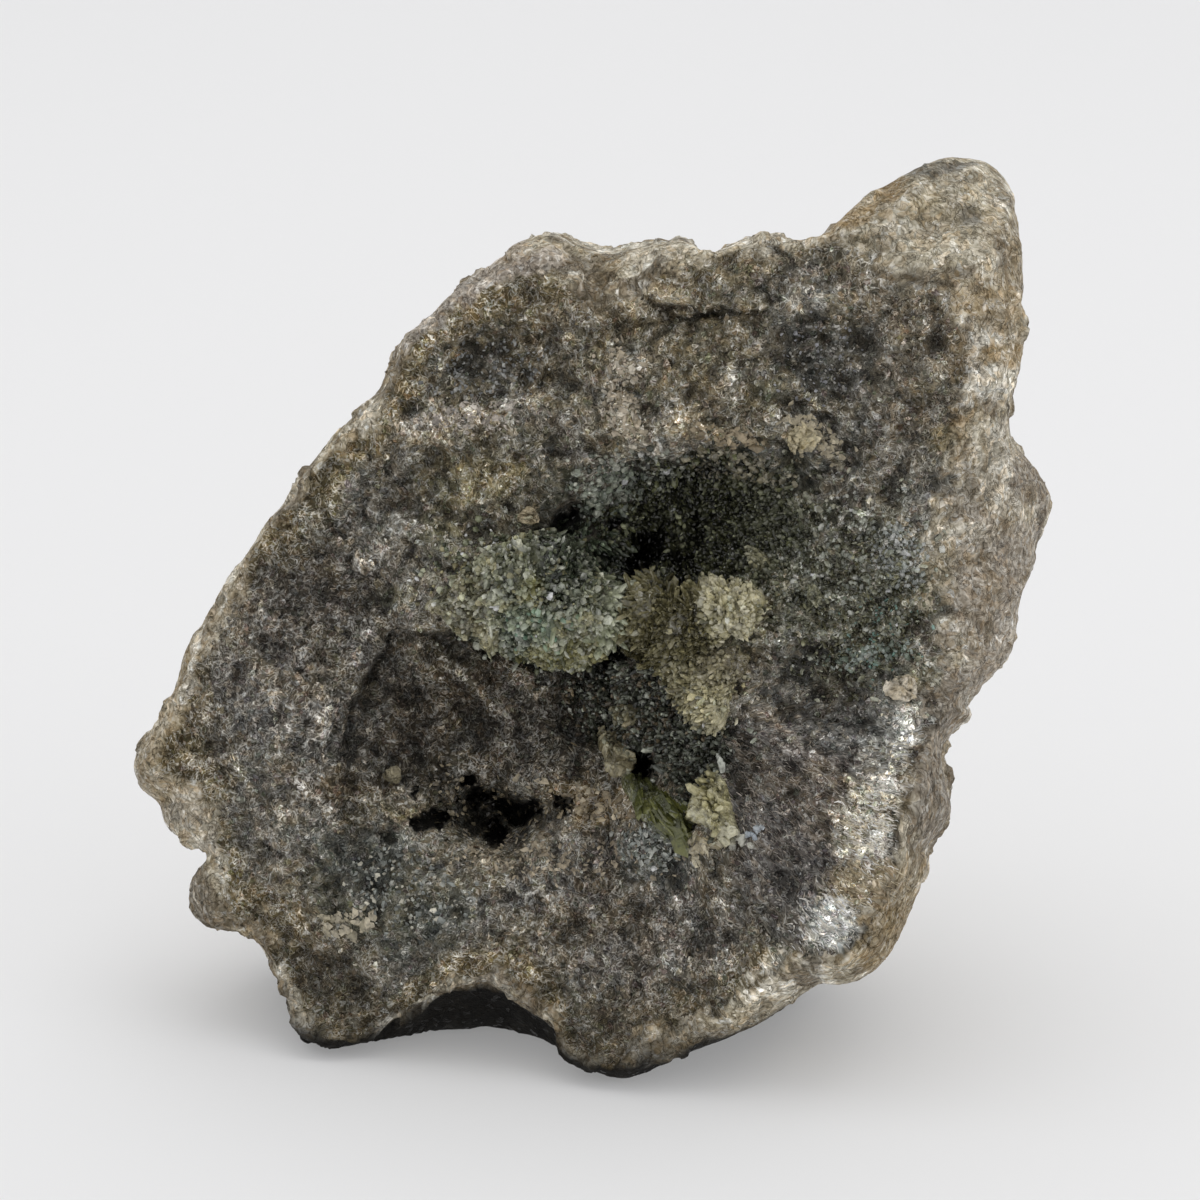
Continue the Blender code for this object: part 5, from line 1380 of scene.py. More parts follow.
def make_crust(name, middle, outline, thickness, lump, colours, stains, stretch, material, seed, stands_for):
    """A crust of crystals grown together: a grid of rings about its middle, out to its ragged outline, that
    closes inside the rock. Its height and colour are also put down on the map of the face, for the crystals
    that grow on it."""
    middle = np.array(middle)
    offset = closed_curve(outline) - middle
    distance = np.hypot(*offset.T)
    columns = int(np.clip(2 * math.pi * distance.mean() / 0.12, 72, 360)) // 2 * 2
    rings = int(np.clip(columns / 2.9, 30, 110))
    angle = np.arctan2(offset[:, 1], offset[:, 0])
    order = np.argsort(angle)

    def edge_at(bearing):
        """How far the ragged edge is from the crust's middle, at each bearing."""
        ragged = 1 + 0.07 * soft_noise(on_plane(8 * np.cos(bearing), 8 * np.sin(bearing)), 1.0, seed)
        return np.interp(bearing, angle[order], distance[order], period=2 * math.pi) * ragged

    # On the map of the face
    form = (thickness, lump, colours, stains, seed, stretch)
    dx, dz = np.meshgrid(MAP_X - middle[0], MAP_Z - middle[1], indexing="ij")
    near = np.hypot(dx, dz) < 1.2 * distance.max()
    out = np.hypot(dx, dz)[near] / edge_at(np.arctan2(dz, dx)[near])
    height, tint = crust_form(dx[near] + middle[0], dz[near] + middle[1], out, *form)
    higher = height > FACE_MAP["crust"][near]
    FACE_MAP["crust"][near] = np.where(higher, height, FACE_MAP["crust"][near])
    FACE_MAP["crust_tint"][near] = np.where(higher[:, None], tint, FACE_MAP["crust_tint"][near])

    # Its own grid of rings
    share = np.linspace(0.02, 1 + CRUST_SKIRT, rings)[:, None]
    bearing = (np.arange(columns) * 2 * math.pi / columns)[None]
    radius = np.minimum(share, 1.0 + 0.04 * (share - 1)) * edge_at(bearing)
    x, z = middle[0] + radius * np.cos(bearing), middle[1] + radius * np.sin(bearing)
    height, tint = crust_form(x, z, np.broadcast_to(share, x.shape), *form)
    placed, normal = seats(x, z)
    placed = placed + normal * height[..., None]
    quads, fan = ring_faces(rings, columns)
    inside = placed[-1].mean(0) - normal[0].mean(0) * (thickness + ROOT_DEPTH)
    points = np.concatenate([placed.reshape(-1, 3), placed[0].mean(0)[None], inside[None]])
    tint = np.concatenate([tint.reshape(-1, 3), tint[0].mean(0)[None], tint[-1].mean(0)[None]])
    make_piece(name, points, [quads[:, [2, 1, 0, 3]], fan[:, [1, 0, 2]]], material, tint, *stands_for)


# The crusts' outlines, and stains in rows like those of the broken face
SHELF_OUTLINE = [
    (-17.8, -0.6), (-15.4, -1.6), (-14.2, -2.4), (-13.4, -3.8), (-11.2, -4.4), (-9.6, -5.3), (-8.0, -5.8),
    (-5.6, -6.3), (-3.4, -6.3), (-1.4, -6.2), (-0.2, -5.1), (1.0, -4.2), (1.9, -2.6), (2.2, -0.6),
    (1.8, 1.4), (0.4, 2.0), (-1.4, 3.4), (-3.2, 5.4), (-5.4, 6.8), (-8.0, 6.4), (-10.6, 4.8), (-12.8, 3.6),
    (-14.6, 1.8), (-16.8, 0.6),
]
SHELF_STAINS = {
    "warm left": ((-13.0, 0.2), (4.0, 3.6), 0, 0.5, 0.3, "#8f856a", 0.7, 0.0),
    "cream left end": ((-16.4, -0.6), (2.0, 1.2), -20, 0.4, 0.3, "#b3aa8c", 0.85, 0.0),
    "dark streaks at the top right": ((-2.6, 4.0), (3.4, 3.2), -20, 0.5, 0.3, "#383d30", 0.9, 0.0),
    "yellow lump": ((-6.8, 0.9), (1.5, 1.7), 10, 0.4, 0.3, "#a09a58", 0.85, 0.0),
    "turquoise": ((-6.0, -1.6), (2.6, 1.1), 15, 0.8, 0.3, "#6c8a78", 0.55, 0.0),
    "dark slots": ((-3.6, 0.4), (2.2, 1.2), -10, 0.9, 0.2, "#2c3327", 0.8, 0.0),
    "amber bottom": ((-2.6, -4.2), (3.6, 1.8), 8, 0.5, 0.3, "#747140", 0.7, 0.0),
    "dark green bottom left": ((-8.2, -3.4), (1.6, 1.0), -10, 0.5, 0.3, "#3b4a3a", 0.7, 0.0),
    "pale columns on the right": ((0.8, -1.6), (1.3, 3.4), -8, 0.4, 0.3, "#bfc4a6", 0.8, 0.0),
}
RIDGE_OUTLINE = [
    (1.8, 0.8), (2.8, -4.6), (4.6, -6.0), (7.0, -6.6), (9.6, -6.0), (10.6, -4.2), (11.4, -2.0), (11.0, 0.4),
    (9.8, 1.2), (8.4, 0.2), (6.8, 1.4), (5.0, 2.2), (3.2, 1.6),
]
BAND_OUTLINE = [
    (4.6, -4.6), (6.6, -5.0), (9.2, -4.8), (11.6, -5.2), (13.6, -4.6), (15.0, -6.0), (14.0, -8.0),
    (13.2, -9.2), (12.8, -11.0), (12.2, -12.6), (10.6, -12.8), (9.2, -11.4), (8.0, -9.4), (6.6, -7.4),
    (5.2, -6.0),
]
BAND_STAINS = {
    "rosy side": ((13.0, -6.6), (2.6, 2.0), 0, 0.5, 0.3, "#6e6350", 0.7, 0.0),
    "pale end": ((11.2, -10.6), (2.2, 3.0), 0, 0.4, 0.3, "#ddd5b0", 0.9, 0.0),
}
TUFT_OUTLINE = [
    (9.4, -2.4), (10.2, -0.6), (10.4, 1.2), (11.6, 1.8), (12.8, 1.4), (14.2, 1.6), (15.4, 1.0), (16.4, 0.2),
    (16.0, -1.6), (14.8, -3.2), (13.4, -3.4), (12.0, -4.4), (10.6, -4.2),
]
TUFT_STAINS = {
    "amber left": ((10.6, -2.4), (1.8, 2.6), 0, 0.5, 0.3, "#77714a", 0.85, 0.0),
}
FLAKE_OUTLINE = [
    (0.6, -12.8), (1.6, -13.0), (2.2, -14.2), (2.6, -15.2), (3.0, -16.4), (2.8, -17.6), (1.6, -17.8),
    (0.6, -17.0), (0.4, -15.8), (-0.2, -14.6), (-0.1, -13.4),
]
SMALL_FLAKE_OUTLINE = [(1.9, -10.5), (2.9, -10.3), (3.8, -10.9), (3.8, -12.0), (2.9, -12.2), (2.0, -11.6)]
ROSETTE_OUTLINE = [
    (2.2, -17.9), (3.6, -17.9), (5.2, -18.0), (6.0, -19.0), (6.4, -20.4), (8.0, -21.2), (9.0, -22.6),
    (9.2, -23.8), (8.2, -24.2), (6.6, -23.6), (5.2, -22.8), (4.0, -21.6), (3.4, -20.4), (2.6, -19.4),
]
PYRAMID_OUTLINE = [
    (11.4, -17.4), (12.2, -17.6), (12.8, -19.0), (13.2, -20.6), (13.6, -22.0), (13.9, -23.6), (12.6, -24.0),
    (11.0, -22.8), (9.6, -22.2), (8.8, -21.2), (10.0, -19.4),
]

# Small crystals: shape, how many, middle, half sizes, turn in degrees, colours, mottle, and how they grow:
# length and width, thickness as a share of the width, lean, how much their sizes vary, how far they are
# lifted off the rock, and the heart and the strength of a fan
HOLLOW_LINING = [
    (blade_shapes, 3000, (8.8, 7.2), (8.0, 5.8), 14,
     ("#4d4e35", "#383927", "#65674a", "#252619", "#8a8c70"), 0.5,
     dict(length=0.6, width=0.42, flat=0.7, lean=0.9)),
    (blade_shapes, 700, (17.0, 6.4), (3.6, 6.6), 0, ("#6b6c57", "#555746", "#7f806a"), 0.4,
     dict(length=0.6, width=0.42, flat=0.7, lean=0.9)),
    (grain_shapes, 380, (2.6, 12.0), (5.4, 2.8), 10, ("#b0b3a2", "#92978a", "#cfd0c0", "#63685a"), 0.3,
     dict(length=0.45, width=0.55, flat=0.8, lean=0.8, vary=0.35)),
    (grain_shapes, 170, (13.6, 13.2), (5.0, 1.6), -10, ("#b0a88e", "#c4bca4", "#938b72"), 0.3,
     dict(length=0.5, width=0.7, flat=0.8, lean=0.8, vary=0.4)),
    (grain_shapes, 260, (12.4, 7.4), (6.0, 5.8), 14, ("#b5baa8", "#d4d6c4", "#8d9480"), 0.35,
     dict(length=0.35, width=0.4, flat=0.8, lean=0.8, vary=0.4)),
    # A few near-white grains: partly pale crystals, partly painted glints of the hollow's sparkle
    (grain_shapes, 30, (7.0, 6.6), (5.6, 4.4), 14, ("#e9ece6", "#f4f5f0"), 0.1,
     dict(length=0.35, width=0.38, flat=0.7, lean=0.8)),
    (grain_shapes, 200, (1.0, 10.2), (3.6, 2.6), 30, ("#a4ac9a", "#7b8474", "#c6ccbb"), 0.35,
     dict(length=0.5, width=0.6, flat=0.8, lean=0.8, vary=0.4)),
    (blade_shapes, 420, (-1.6, 4.6), (3.6, 3.0), -20, ("#7a8570", "#5c6650", "#9aa38a", "#3a4233"), 0.35,
     dict(length=0.9, width=0.38, flat=0.6, lean=0.5, fan=(-1.0, 9.5), spread=1.2)),
]
SHELF_GRAINS = [
    (grain_shapes, 1500, (-7.0, 0.6), (8.4, 4.8), -14,
     ("#c4c6aa", "#84886b", "#eef0dc", "#474c3a", "#aea67e"), 0.4,
     dict(length=0.52, width=0.5, flat=0.8, lean=0.9, vary=0.35)),
    (blade_shapes, 260, (-6.0, 0.4), (7.6, 4.6), -14, ("#d0d4ba", "#f4f6e8", "#9fa58a", "#4a503c"), 0.3,
     dict(length=1.0, width=0.42, flat=0.6, lean=0.8, vary=0.35)),
    (grain_shapes, 240, (-5.6, -1.4), (7.0, 4.0), -10, ("#e4e8d8", "#f4f6ec", "#d3d9c4"), 0.1,
     dict(length=0.7, width=0.7, flat=0.7, lean=0.7, lift=0.1)),
    (grain_shapes, 46, (-5.8, -1.4), (3.4, 1.6), 10, ("#a5d0b6", "#8fc0a6", "#c2dec8"), 0.1,
     dict(length=0.6, width=0.6, flat=0.7, lean=0.7, lift=0.1)),
    (blade_shapes, 90, (0.9, -1.8), (1.0, 2.8), -8, ("#c9ceb2", "#e2e4d0"), 0.15,
     dict(length=1.2, width=0.6, flat=0.6, lean=0.3)),
    (grain_shapes, 220, (-3.4, -4.2), (4.2, 1.5), 6, ("#a8a268", "#c9c392", "#8a8552"), 0.25,
     dict(length=0.65, width=0.55, flat=0.8, lean=0.7)),
]
RIDGE_CRYSTALS = [
    (blade_shapes, 520, (6.6, -2.4), (4.0, 3.4), 0, ("#8d8663", "#6d6748", "#a39c79", "#55503a"), 0.3,
     dict(length=0.9, width=0.4, flat=0.5, lean=0.6)),
    (grain_shapes, 260, (6.6, -2.4), (4.0, 3.4), 0, ("#8f8866", "#77714f", "#b5ae8a"), 0.3,
     dict(length=0.5, width=0.5, flat=0.8, lean=0.8)),
    (blade_shapes, 220, (13.6, -0.4), (2.4, 1.8), 0, ("#dfd9ba", "#c4bd97", "#f0ecd8"), 0.2,
     dict(length=0.7, width=0.34, flat=0.6, lean=0.9, vary=0.4, fan=(13.4, -1.8), spread=0.5)),
    (grain_shapes, 420, (13.4, -1.0), (2.6, 2.2), 0, ("#ddd6b8", "#b8b18c", "#f0ecd8"), 0.25,
     dict(length=0.55, width=0.55, flat=0.8, lean=0.8, vary=0.4)),
    (blade_shapes, 260, (11.0, -9.0), (2.0, 3.0), -20, ("#dcd4ae", "#b8af88", "#f0ead0"), 0.25,
     dict(length=0.8, width=0.4, flat=0.6, lean=0.8)),
    (grain_shapes, 260, (10.4, -7.0), (3.4, 2.6), -20, ("#cbc39e", "#a9a07a", "#e4ddbf"), 0.25,
     dict(length=0.5, width=0.5, flat=0.8, lean=0.8)),
]
LOWER_DRUSE = [
    (blade_shapes, 1300, (4.0, -11.0), (7.4, 4.8), -20,
     ("#45473c", "#5e6153", "#2c2e26", "#9da192", "#6a5f4c"), 0.5,
     dict(length=0.6, width=0.42, flat=0.7, lean=0.9)),
    (grain_shapes, 200, (4.0, -11.6), (8.0, 5.2), -20, ("#a6ab9a", "#cfd2c4", "#8a8f7f"), 0.25,
     dict(length=0.4, width=0.45, flat=0.8, lean=0.8, vary=0.4)),
    # A few near-white grains: partly pale crystals, partly painted glints on the dark druse
    (grain_shapes, 26, (4.0, -10.6), (7.0, 4.6), -20, ("#eef0ea",), 0.05,
     dict(length=0.35, width=0.36, flat=0.7, lean=0.8)),
    (blade_shapes, 420, (9.4, -15.6), (3.6, 4.4), 0, ("#4d5044", "#64675a", "#34362d", "#80847a"), 0.35,
     dict(length=0.6, width=0.42, flat=0.7, lean=0.9)),
    (blade_shapes, 64, (6.4, -21.0), (2.6, 1.7), -40, ("#7c7d42", "#666a35", "#94965e", "#4f5228"), 0.2,
     dict(length=1.8, width=0.9, flat=0.3, lean=0.35, fan=(4.4, -18.2), spread=2.5, flatten=True)),
    (blade_shapes, 60, (11.8, -20.4), (1.2, 2.2), 8, ("#cfc899", "#e0dab8", "#a8a26e"), 0.15,
     dict(length=1.1, width=0.6, flat=0.6, lean=0.4)),
    (blade_shapes, 3, (12.3, -16.9), (0.2, 0.4), 0, ("#d9dcd2",), 0.05,
     dict(length=1.1, width=0.6, flat=0.6, lean=0.3, lift=0.3, fan=(12.2, -19.5), spread=1.5)),
    (grain_shapes, 26, (13.4, -23.6), (1.5, 0.9), -20, ("#e2dfd0", "#cfcec1"), 0.1,
     dict(length=0.8, width=0.9, flat=0.8, lean=0.5, lift=0.1)),
    (grain_shapes, 8, (15.2, -23.2), (1.0, 0.6), 0, ("#b5bfc8", "#c6cdd2"), 0.1,
     dict(length=0.6, width=0.7, flat=0.8, lean=0.5, lift=0.1)),
    (flake_shapes, 60, (10.4, -24.6), (1.9, 1.0), 15, ("#d6ccb0", "#bdb192"), 0.2,
     dict(length=1.1, width=0.8, flat=0.3, lean=0.8, lift=0.15)),
    (flake_shapes, 150, (5.2, -24.4), (3.0, 2.2), -10, ("#b3b6ae", "#8f948f", "#d0d1c8", "#6c7269"), 0.3,
     dict(length=0.8, width=0.6, flat=0.35, lean=1.0, lift=0.15)),
    (flake_shapes, 200, (-12.0, -20.6), (6.6, 3.2), -6, ("#857963", "#a0947b", "#5f574a"), 0.25,
     dict(length=0.8, width=0.5, flat=0.35, lean=0.9, lift=0.1)),
]
GREEN_FIELD = [
    (blade_shapes, 1500, (25.2, -0.6), (7.0, 7.8), 0,
     ("#85846a", "#6a6850", "#9c9c86", "#55533c", "#abac9a"), 0.4,
     dict(length=0.5, width=0.34, flat=0.5, lean=0.9)),
    (grain_shapes, 460, (25.6, 2.0), (6.8, 8.4), 0, ("#bfc2b4", "#dcddd2", "#95998b"), 0.25,
     dict(length=0.42, width=0.5, flat=0.7, lean=0.8, vary=0.35)),
    (grain_shapes, 200, (29.8, 4.6), (2.2, 3.6), 20, ("#cfd2cd", "#e8e9e4", "#adb2ac"), 0.15,
     dict(length=0.4, width=0.5, flat=0.7, lean=0.7, vary=0.3)),
    (grain_shapes, 140, (27.0, -5.6), (4.4, 1.2), 10, ("#bcc6bd", "#93a090"), 0.2,
     dict(length=0.45, width=0.6, flat=0.6, lean=0.7, vary=0.4)),
    (grain_shapes, 60, (28.0, -3.0), (4.6, 5.0), 0, ("#7da497", "#9fc0b4"), 0.15,
     dict(length=0.35, width=0.45, flat=0.6, lean=0.7)),
    (grain_shapes, 90, (21.0, 9.0), (4.0, 6.0), 20, ("#aaa893", "#c0beaa"), 0.2,
     dict(length=0.4, width=0.5, flat=0.7, lean=0.8, vary=0.4)),
]
FACE_SPECKS = [
    (flake_shapes, 190, (-11.0, 23.0), (6.0, 3.2), 12, ("#8e8f8e", "#a8a8a4", "#6d6e6d"), 0.25,
     dict(length=0.5, width=0.4, flat=0.5, lean=0.8, lift=0.05)),
    (flake_shapes, 200, (-13.0, 18.4), (5.6, 1.5), 8, ("#b9afa4", "#a1978a", "#c8c0b6"), 0.2,
     dict(length=0.7, width=0.4, flat=0.35, lean=0.8, lift=0.06)),
    (flake_shapes, 130, (22.4, 24.0), (4.2, 4.4), 20, ("#96969a", "#a9a69f"), 0.25,
     dict(length=0.45, width=0.35, flat=0.5, lean=0.8, lift=0.05)),
    (flake_shapes, 260, (-19.4, -29.0), (6.0, 4.0), -22, ("#8d918c", "#a5a69d", "#bab6a7", "#6a6d68"), 0.25,
     dict(length=0.65, width=0.45, flat=0.35, lean=0.7, lift=0.05)),
    (flake_shapes, 50, (-25.0, -32.4), (3.0, 1.3), 10, ("#c0b69f", "#aca38b"), 0.15,
     dict(length=1.1, width=0.8, flat=0.3, lean=0.5, lift=0.12)),
    (flake_shapes, 300, (-6.0, -25.6), (10.0, 2.0), -3, ("#a3967f", "#b8ab94", "#897c68"), 0.2,
     dict(length=0.8, width=0.4, flat=0.3, lean=0.7, lift=0.06)),
    (flake_shapes, 90, (-1.0, -20.4), (4.0, 1.6), -15, ("#a99a7e", "#bcaf95", "#897b63"), 0.2,
     dict(length=0.9, width=0.6, flat=0.3, lean=0.8, lift=0.12)),
    (flake_shapes, 150, (2.2, 20.2), (1.8, 5.0), 8, ("#bfb29d", "#aca08a", "#d0c7b5"), 0.15,
     dict(length=0.9, width=0.6, flat=0.35, lean=0.8, lift=0.12)),
    (flake_shapes, 80, (12.8, 16.4), (3.8, 0.9), -10, ("#b0a084", "#9c8d72"), 0.15,
     dict(length=0.9, width=0.6, flat=0.3, lean=0.8, lift=0.15)),
    (flake_shapes, 110, (21.0, 16.6), (3.4, 1.6), -28, ("#bbb097", "#a99e85"), 0.15,
     dict(length=0.9, width=0.6, flat=0.35, lean=0.7, lift=0.12)),
]
ALONG_VEIN = dict(lift=0.05, fan=(8.0, -14.0), flatten=True)
VEIN_FIBRES = [
    (thread_shapes, 260, (22.8, -32.2), (3.6, 2.5), 40, ("#f4f0e8", "#e2ddd2", "#fdfcf9"), 0.08,
     dict(length=0.75, width=0.16, flat=0.7, lean=0.3, spread=3.0, **ALONG_VEIN)),
    (thread_shapes, 320, (27.2, -22.6), (2.4, 5.0), -8, ("#ece6dc", "#d6cfc2", "#f8f5ef"), 0.08,
     dict(length=0.75, width=0.16, flat=0.7, lean=0.3, spread=3.0, **ALONG_VEIN)),
    (thread_shapes, 160, (29.4, -14.8), (1.8, 3.8), -36, ("#c9c7c2", "#b0ada6", "#dcdbd6"), 0.12,
     dict(length=0.9, width=0.13, flat=0.6, lean=0.6, spread=2.0, **ALONG_VEIN)),
    (thread_shapes, 260, (26.4, -28.2), (3.0, 2.4), 20, ("#b8a98a", "#c9bca0", "#a09072"), 0.12,
     dict(length=1.0, width=0.13, flat=0.6, lean=0.5, spread=3.0, **ALONG_VEIN)),
    (thread_shapes, 500, (18.0, -20.0), (8.0, 8.0), 0, ("#a59b90", "#8f857b", "#b8aea3"), 0.15,
     dict(length=0.8, width=0.09, flat=0.6, lean=0.8, lift=0.04, fan=tuple(FAN_HEART), spread=2.5,
          flatten=True)),
]

# The node that a piece stands for, and its material slot
UPPER = (["upper_hollow_crystals"], "pale_green_crystal")
LOWER = (["lower_hollow_crystals"], "olive_crystal")

# Crusts: middle, outline, thickness, size of the lumps, colours, stains, how much height counts for in the
# lumps, which draws them out upright where it is under 1, and what the crust stands for
CRUSTS = {
    "pale_shelf": (
        (-6.5, 0.2), SHELF_OUTLINE, 2.4, 0.95, ("#b0b194", "#d8d9bc", "#6f7158", "#bab48c", "#4f5340"),
        SHELF_STAINS, 1.0, UPPER,
    ),
    "brown_ridge": ((6.6, -2.4), RIDGE_OUTLINE, 2.0, 0.9, ("#736c4a", "#5a5438", "#8b8460"), {}, 0.6, UPPER),
    "cream_band": (
        (10.0, -7.6), BAND_OUTLINE, 1.6, 0.8, ("#a9a17b", "#8f8863", "#bdb58e"), BAND_STAINS, 1.0, UPPER,
    ),
    "cream_tuft": (
        (13.0, -1.2), TUFT_OUTLINE, 2.2, 0.75, ("#c0b892", "#aaa27a", "#d3ccaa"), TUFT_STAINS, 1.0, UPPER,
    ),
    "pale_flake": ((1.4, -15.2), FLAKE_OUTLINE, 1.3, 0.8, ("#b0a582", "#9c9170", "#c4ba98"), {}, 1.0, LOWER),
    "small_flake": ((2.8, -11.3), SMALL_FLAKE_OUTLINE, 1.0, 0.8, ("#a39a78", "#8b8467"), {}, 1.0, LOWER),
    "olive_rosette": (
        (5.6, -20.6), ROSETTE_OUTLINE, 1.3, 1.0, ("#62643a", "#50542e", "#75774a"), {}, 0.6, LOWER,
    ),
    "yellow_pyramid": (
        (11.8, -21.4), PYRAMID_OUTLINE, 1.8, 0.8, ("#bdb68c", "#a8a178", "#d3cda8"), {}, 1.0, LOWER,
    ),
}

# Lone grains: middle, half sizes, turn in degrees, thickness, colours, and what the grain stands for
LONE_GRAINS = {
    "hollow_nodule_grain": ((16.0, 3.8), (1.0, 0.95), 10, 1.3, ("#c8c4a6", "#b3ae8c"), UPPER),
    "field_nodule_grain": ((21.4, 0.4), (0.8, 1.3), 10, 0.9, ("#b9b79c", "#9c9b80"), UPPER),
    "cream_nugget_grain": (
        (30.3, -8.9), (1.6, 1.25), 15, 1.4, ("#e8decb", "#d6c9b0"), (["cream_nugget"], "cream_grain"),
    ),
    "cream_lump_grain": (
        (20.3, 16.3), (1.6, 1.0), -10, 0.9, ("#cbbf9c", "#bdb08b"), (["cream_lump"], "cream_grain"),
    ),
    "pale_nodule_grain": (
        (-7.2, 8.4), (0.95, 0.9), 30, 0.8, ("#b8aa8c", "#cbbc9e"), (["pale_nodule"], "cream_grain"),
    ),
    "ring_nodule_grain": (
        (-20.7, -17.5), (0.95, 0.9), 0, 0.7, ("#a39a80", "#8c846c"), (["ring_nodule"], "grey_grain"),
    ),
}
GRAIN_LUMP = 0.9


def oval(middle, half_sizes, turn_deg, count=12):
    """An outline with a slightly uneven oval shape."""
    angle = np.arange(count) * 2 * math.pi / count
    out = 1 + 0.12 * np.sin(3 * angle + middle[0])
    along, across = half_sizes[0] * out * np.cos(angle), half_sizes[1] * out * np.sin(angle)
    return np.stack(from_ellipse(middle, along, across, turn_deg), axis=-1)


def make_crusts(cloudy, waxy):
    """The crusts of crystals and the lone grains, each with seeds of its own."""
    seed = 501
    for name, row in CRUSTS.items():
        *form, stands_for = row
        make_crust(name, *form, cloudy, seed, stands_for)
        seed += 10
    for name, row in LONE_GRAINS.items():
        middle, half_sizes, turn_deg, thickness, colours, stands_for = row
        outline = oval(middle, half_sizes, turn_deg)
        make_crust(name, middle, outline, thickness, GRAIN_LUMP, colours, {}, 1.0, waxy, seed, stands_for)
        seed += 10


# The table, in millimetres: how far it comes forward and to each side, where it starts to curve up behind,
# the curve's radius, and the backdrop's height. Its own light keeps the shadows on it thin.
TABLE_FRONT, TABLE_SIDE, CURVE_START, CURVE_RADIUS, BACKDROP_TOP = -1400.0, 1600, 700, 300, 1500.0
TABLE_PAINTED_GLOW = 0.215


def make_stage():
    """A pale table that sweeps up behind into a backdrop: a straight run, a quarter circle and a rise. It is
    a sheet of matt white acrylic that glows of itself, painted light which thins the shadows on it."""
    material = bpy.data.materials.new("matt white acrylic, glowing of itself")
    material.use_nodes = True
    tree = material.node_tree
    shader = tree.nodes["Principled BSDF"]
    place = node(tree, "TexCoord").outputs["Object"]
    tooth = node(tree, "TexNoise", {"Vector": place, "Scale": per_mm(1.0), "Detail": 3.0}).outputs[0]
    shader.inputs["Base Color"].default_value = rgba("#cfcfd0")
    # Painted light: the table glows white of itself, which thins the shadows on it
    shader.inputs["Emission Color"].default_value = rgba("#ffffff")
    shader.inputs["Emission Strength"].default_value = TABLE_PAINTED_GLOW
    shader.inputs["Roughness"].default_value = 0.9
    bump = node(tree, "Bump", {"Height": tooth, "Strength": 0.1, "Distance": 0.00005})
    tree.links.new(bump.outputs[0], shader.inputs["Normal"])
    turn = np.linspace(0, math.pi / 2, 17)
    back = float(CURVE_START + CURVE_RADIUS)
    y = np.concatenate([[TABLE_FRONT], CURVE_START + CURVE_RADIUS * np.sin(turn), [back]])
    z = np.concatenate([[0.0], CURVE_RADIUS - CURVE_RADIUS * np.cos(turn), [BACKDROP_TOP]])
    x = np.linspace(-TABLE_SIDE, TABLE_SIDE, 9)
    points = np.stack([np.tile(x, len(y)), np.repeat(y, len(x)), np.repeat(z, len(x))], -1) * MM
    index = np.arange(len(points)).reshape(len(y), len(x))
    corners = [index[:-1, :-1], index[:-1, 1:], index[1:, 1:], index[1:, :-1]]
    quads = np.stack(corners, -1).reshape(-1, 4)
    mesh = bpy.data.meshes.new("table_and_backdrop")
    mesh.from_pydata(points.tolist(), [], quads.tolist())
    mesh.polygons.foreach_set("use_smooth", np.full(len(quads), True))
    mesh.materials.append(material)
    stage = bpy.data.objects.new("table_and_backdrop", mesh)
    bpy.context.scene.collection.objects.link(stage)
    stage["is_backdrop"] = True


def make_light(name, place, aim, size, watts):
    """A square white soft box at a place in metres, turned to its aim."""
    light = bpy.data.lights.new(name, "AREA")
    light.size = size
    light.energy = watts
    box = bpy.data.objects.new(name, light)
    forward = np.array(aim) - np.array(place)
    forward /= np.linalg.norm(forward)
    right = np.cross(forward, [0.0, 0.0, 1.0])
    right = right / np.linalg.norm(right)
    up = np.cross(right, forward)
    world = np.eye(4)
    world[:3, 0], world[:3, 1], world[:3, 2], world[:3, 3] = right, up, -forward, place
    box.matrix_world = world.T.tolist()
    bpy.context.scene.collection.objects.link(box)


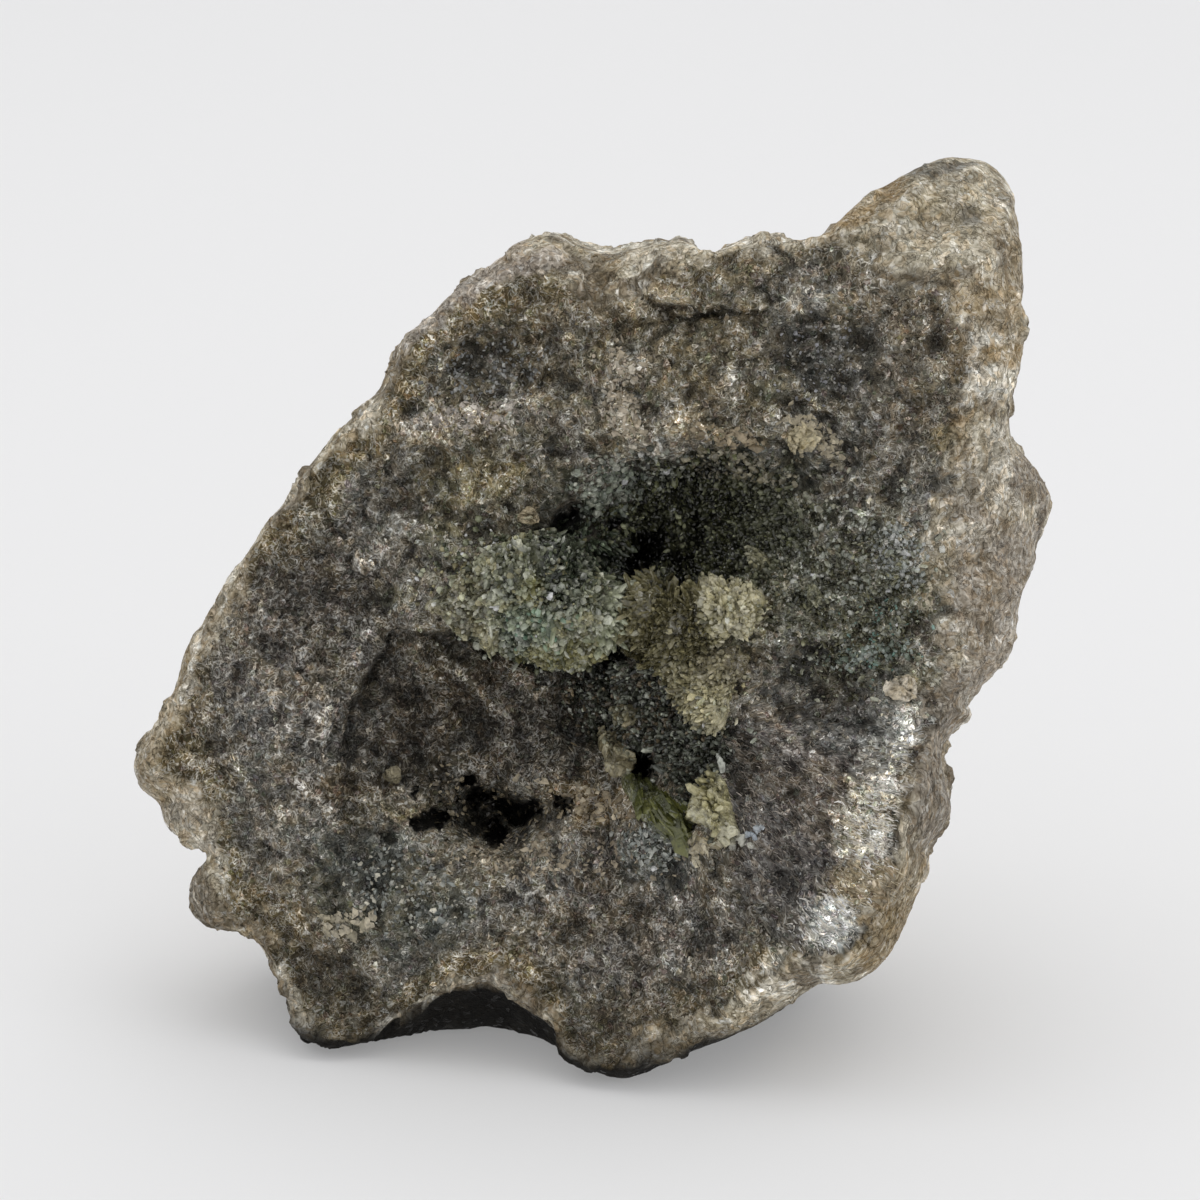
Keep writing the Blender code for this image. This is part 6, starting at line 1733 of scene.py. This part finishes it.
def make_camera():
    """A long lens at the viewer's eye, looking down at the middle of the sight frame."""
    camera = bpy.data.cameras.new("camera")
    camera.sensor_width = SENSOR_WIDTH
    camera.lens = SENSOR_WIDTH * VIEW_DISTANCE / VIEW_WIDTH
    camera.clip_start = 0.01
    eye = bpy.data.objects.new("camera", camera)
    eye.location = stand(np.array([0.0, -VIEW_DISTANCE, 0.0])) * MM
    eye.rotation_euler = (math.radians(90 - SIGHT_DOWN_DEG), 0, 0)
    bpy.context.scene.collection.objects.link(eye)
    bpy.context.scene.camera = eye


def make_world():
    """A white tent: brightest overhead and a little behind, dimmer low on the viewer's side."""
    world = bpy.data.worlds.new("white tent")
    world.use_nodes = True
    tree = world.node_tree
    way = node(tree, "TexCoord").outputs["Generated"]
    height = {0: way, 1: (0.06, 0.25, 0.96)}
    height = node(tree, "VectorMath", height, operation="DOT_PRODUCT").outputs["Value"]
    glow = node(tree, "MapRange", {0: height, 1: -0.5, 2: 1.0, 3: 0.54, 4: 0.865}).outputs[0]
    tree.links.new(glow, tree.nodes["Background"].inputs[0])
    bpy.context.scene.world = world
    bpy.context.scene.view_settings.view_transform = "Standard"


def main():
    """The camera, lights and table first, then the rock, its crusts and all that grows on them."""
    make_camera()
    make_world()
    make_stage()
    make_light("overhead soft box", (0.05, 0.1, 0.9), (0, 0, 0.03), 0.8, 2.2)
    make_light("low card on the right", (0.6, -0.25, 0.12), (0, 0, 0.02), 0.4, 0.8)
    rock = host_rock_material()
    make_lump(rock)
    make_face_flakes(rock)
    make_face_threads(rock)
    clear = crystal_material("anapaite, clear green druse", 0.35, 0.2)
    cloudy = crystal_material("anapaite, clouded pale green", 0.22, 0.25)
    waxy = crystal_material("waxy cream phosphate grain", 0.05, 0.45, 1.55)
    make_crusts(cloudy, waxy)
    make_crystals("hollow_lining", HOLLOW_LINING, clear, 1, *UPPER)
    make_crystals("shelf_grains", SHELF_GRAINS, cloudy, 2, *UPPER)
    make_crystals("ridge_crystals", RIDGE_CRYSTALS, cloudy, 3, *UPPER)
    make_crystals("lower_druse", LOWER_DRUSE, cloudy, 4, *LOWER)
    make_crystals("green_field_crystals", GREEN_FIELD, clear, 5)
    make_crystals("face_specks", FACE_SPECKS, waxy, 6)
    make_crystals("vein_fibres", VEIN_FIBRES, waxy, 7)


FACE_MAP = lay_out_face()
main()
boxes = {"cad": cad_box, "visual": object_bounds()}
{name: [list(corner) for corner in box] for name, box in boxes.items()}
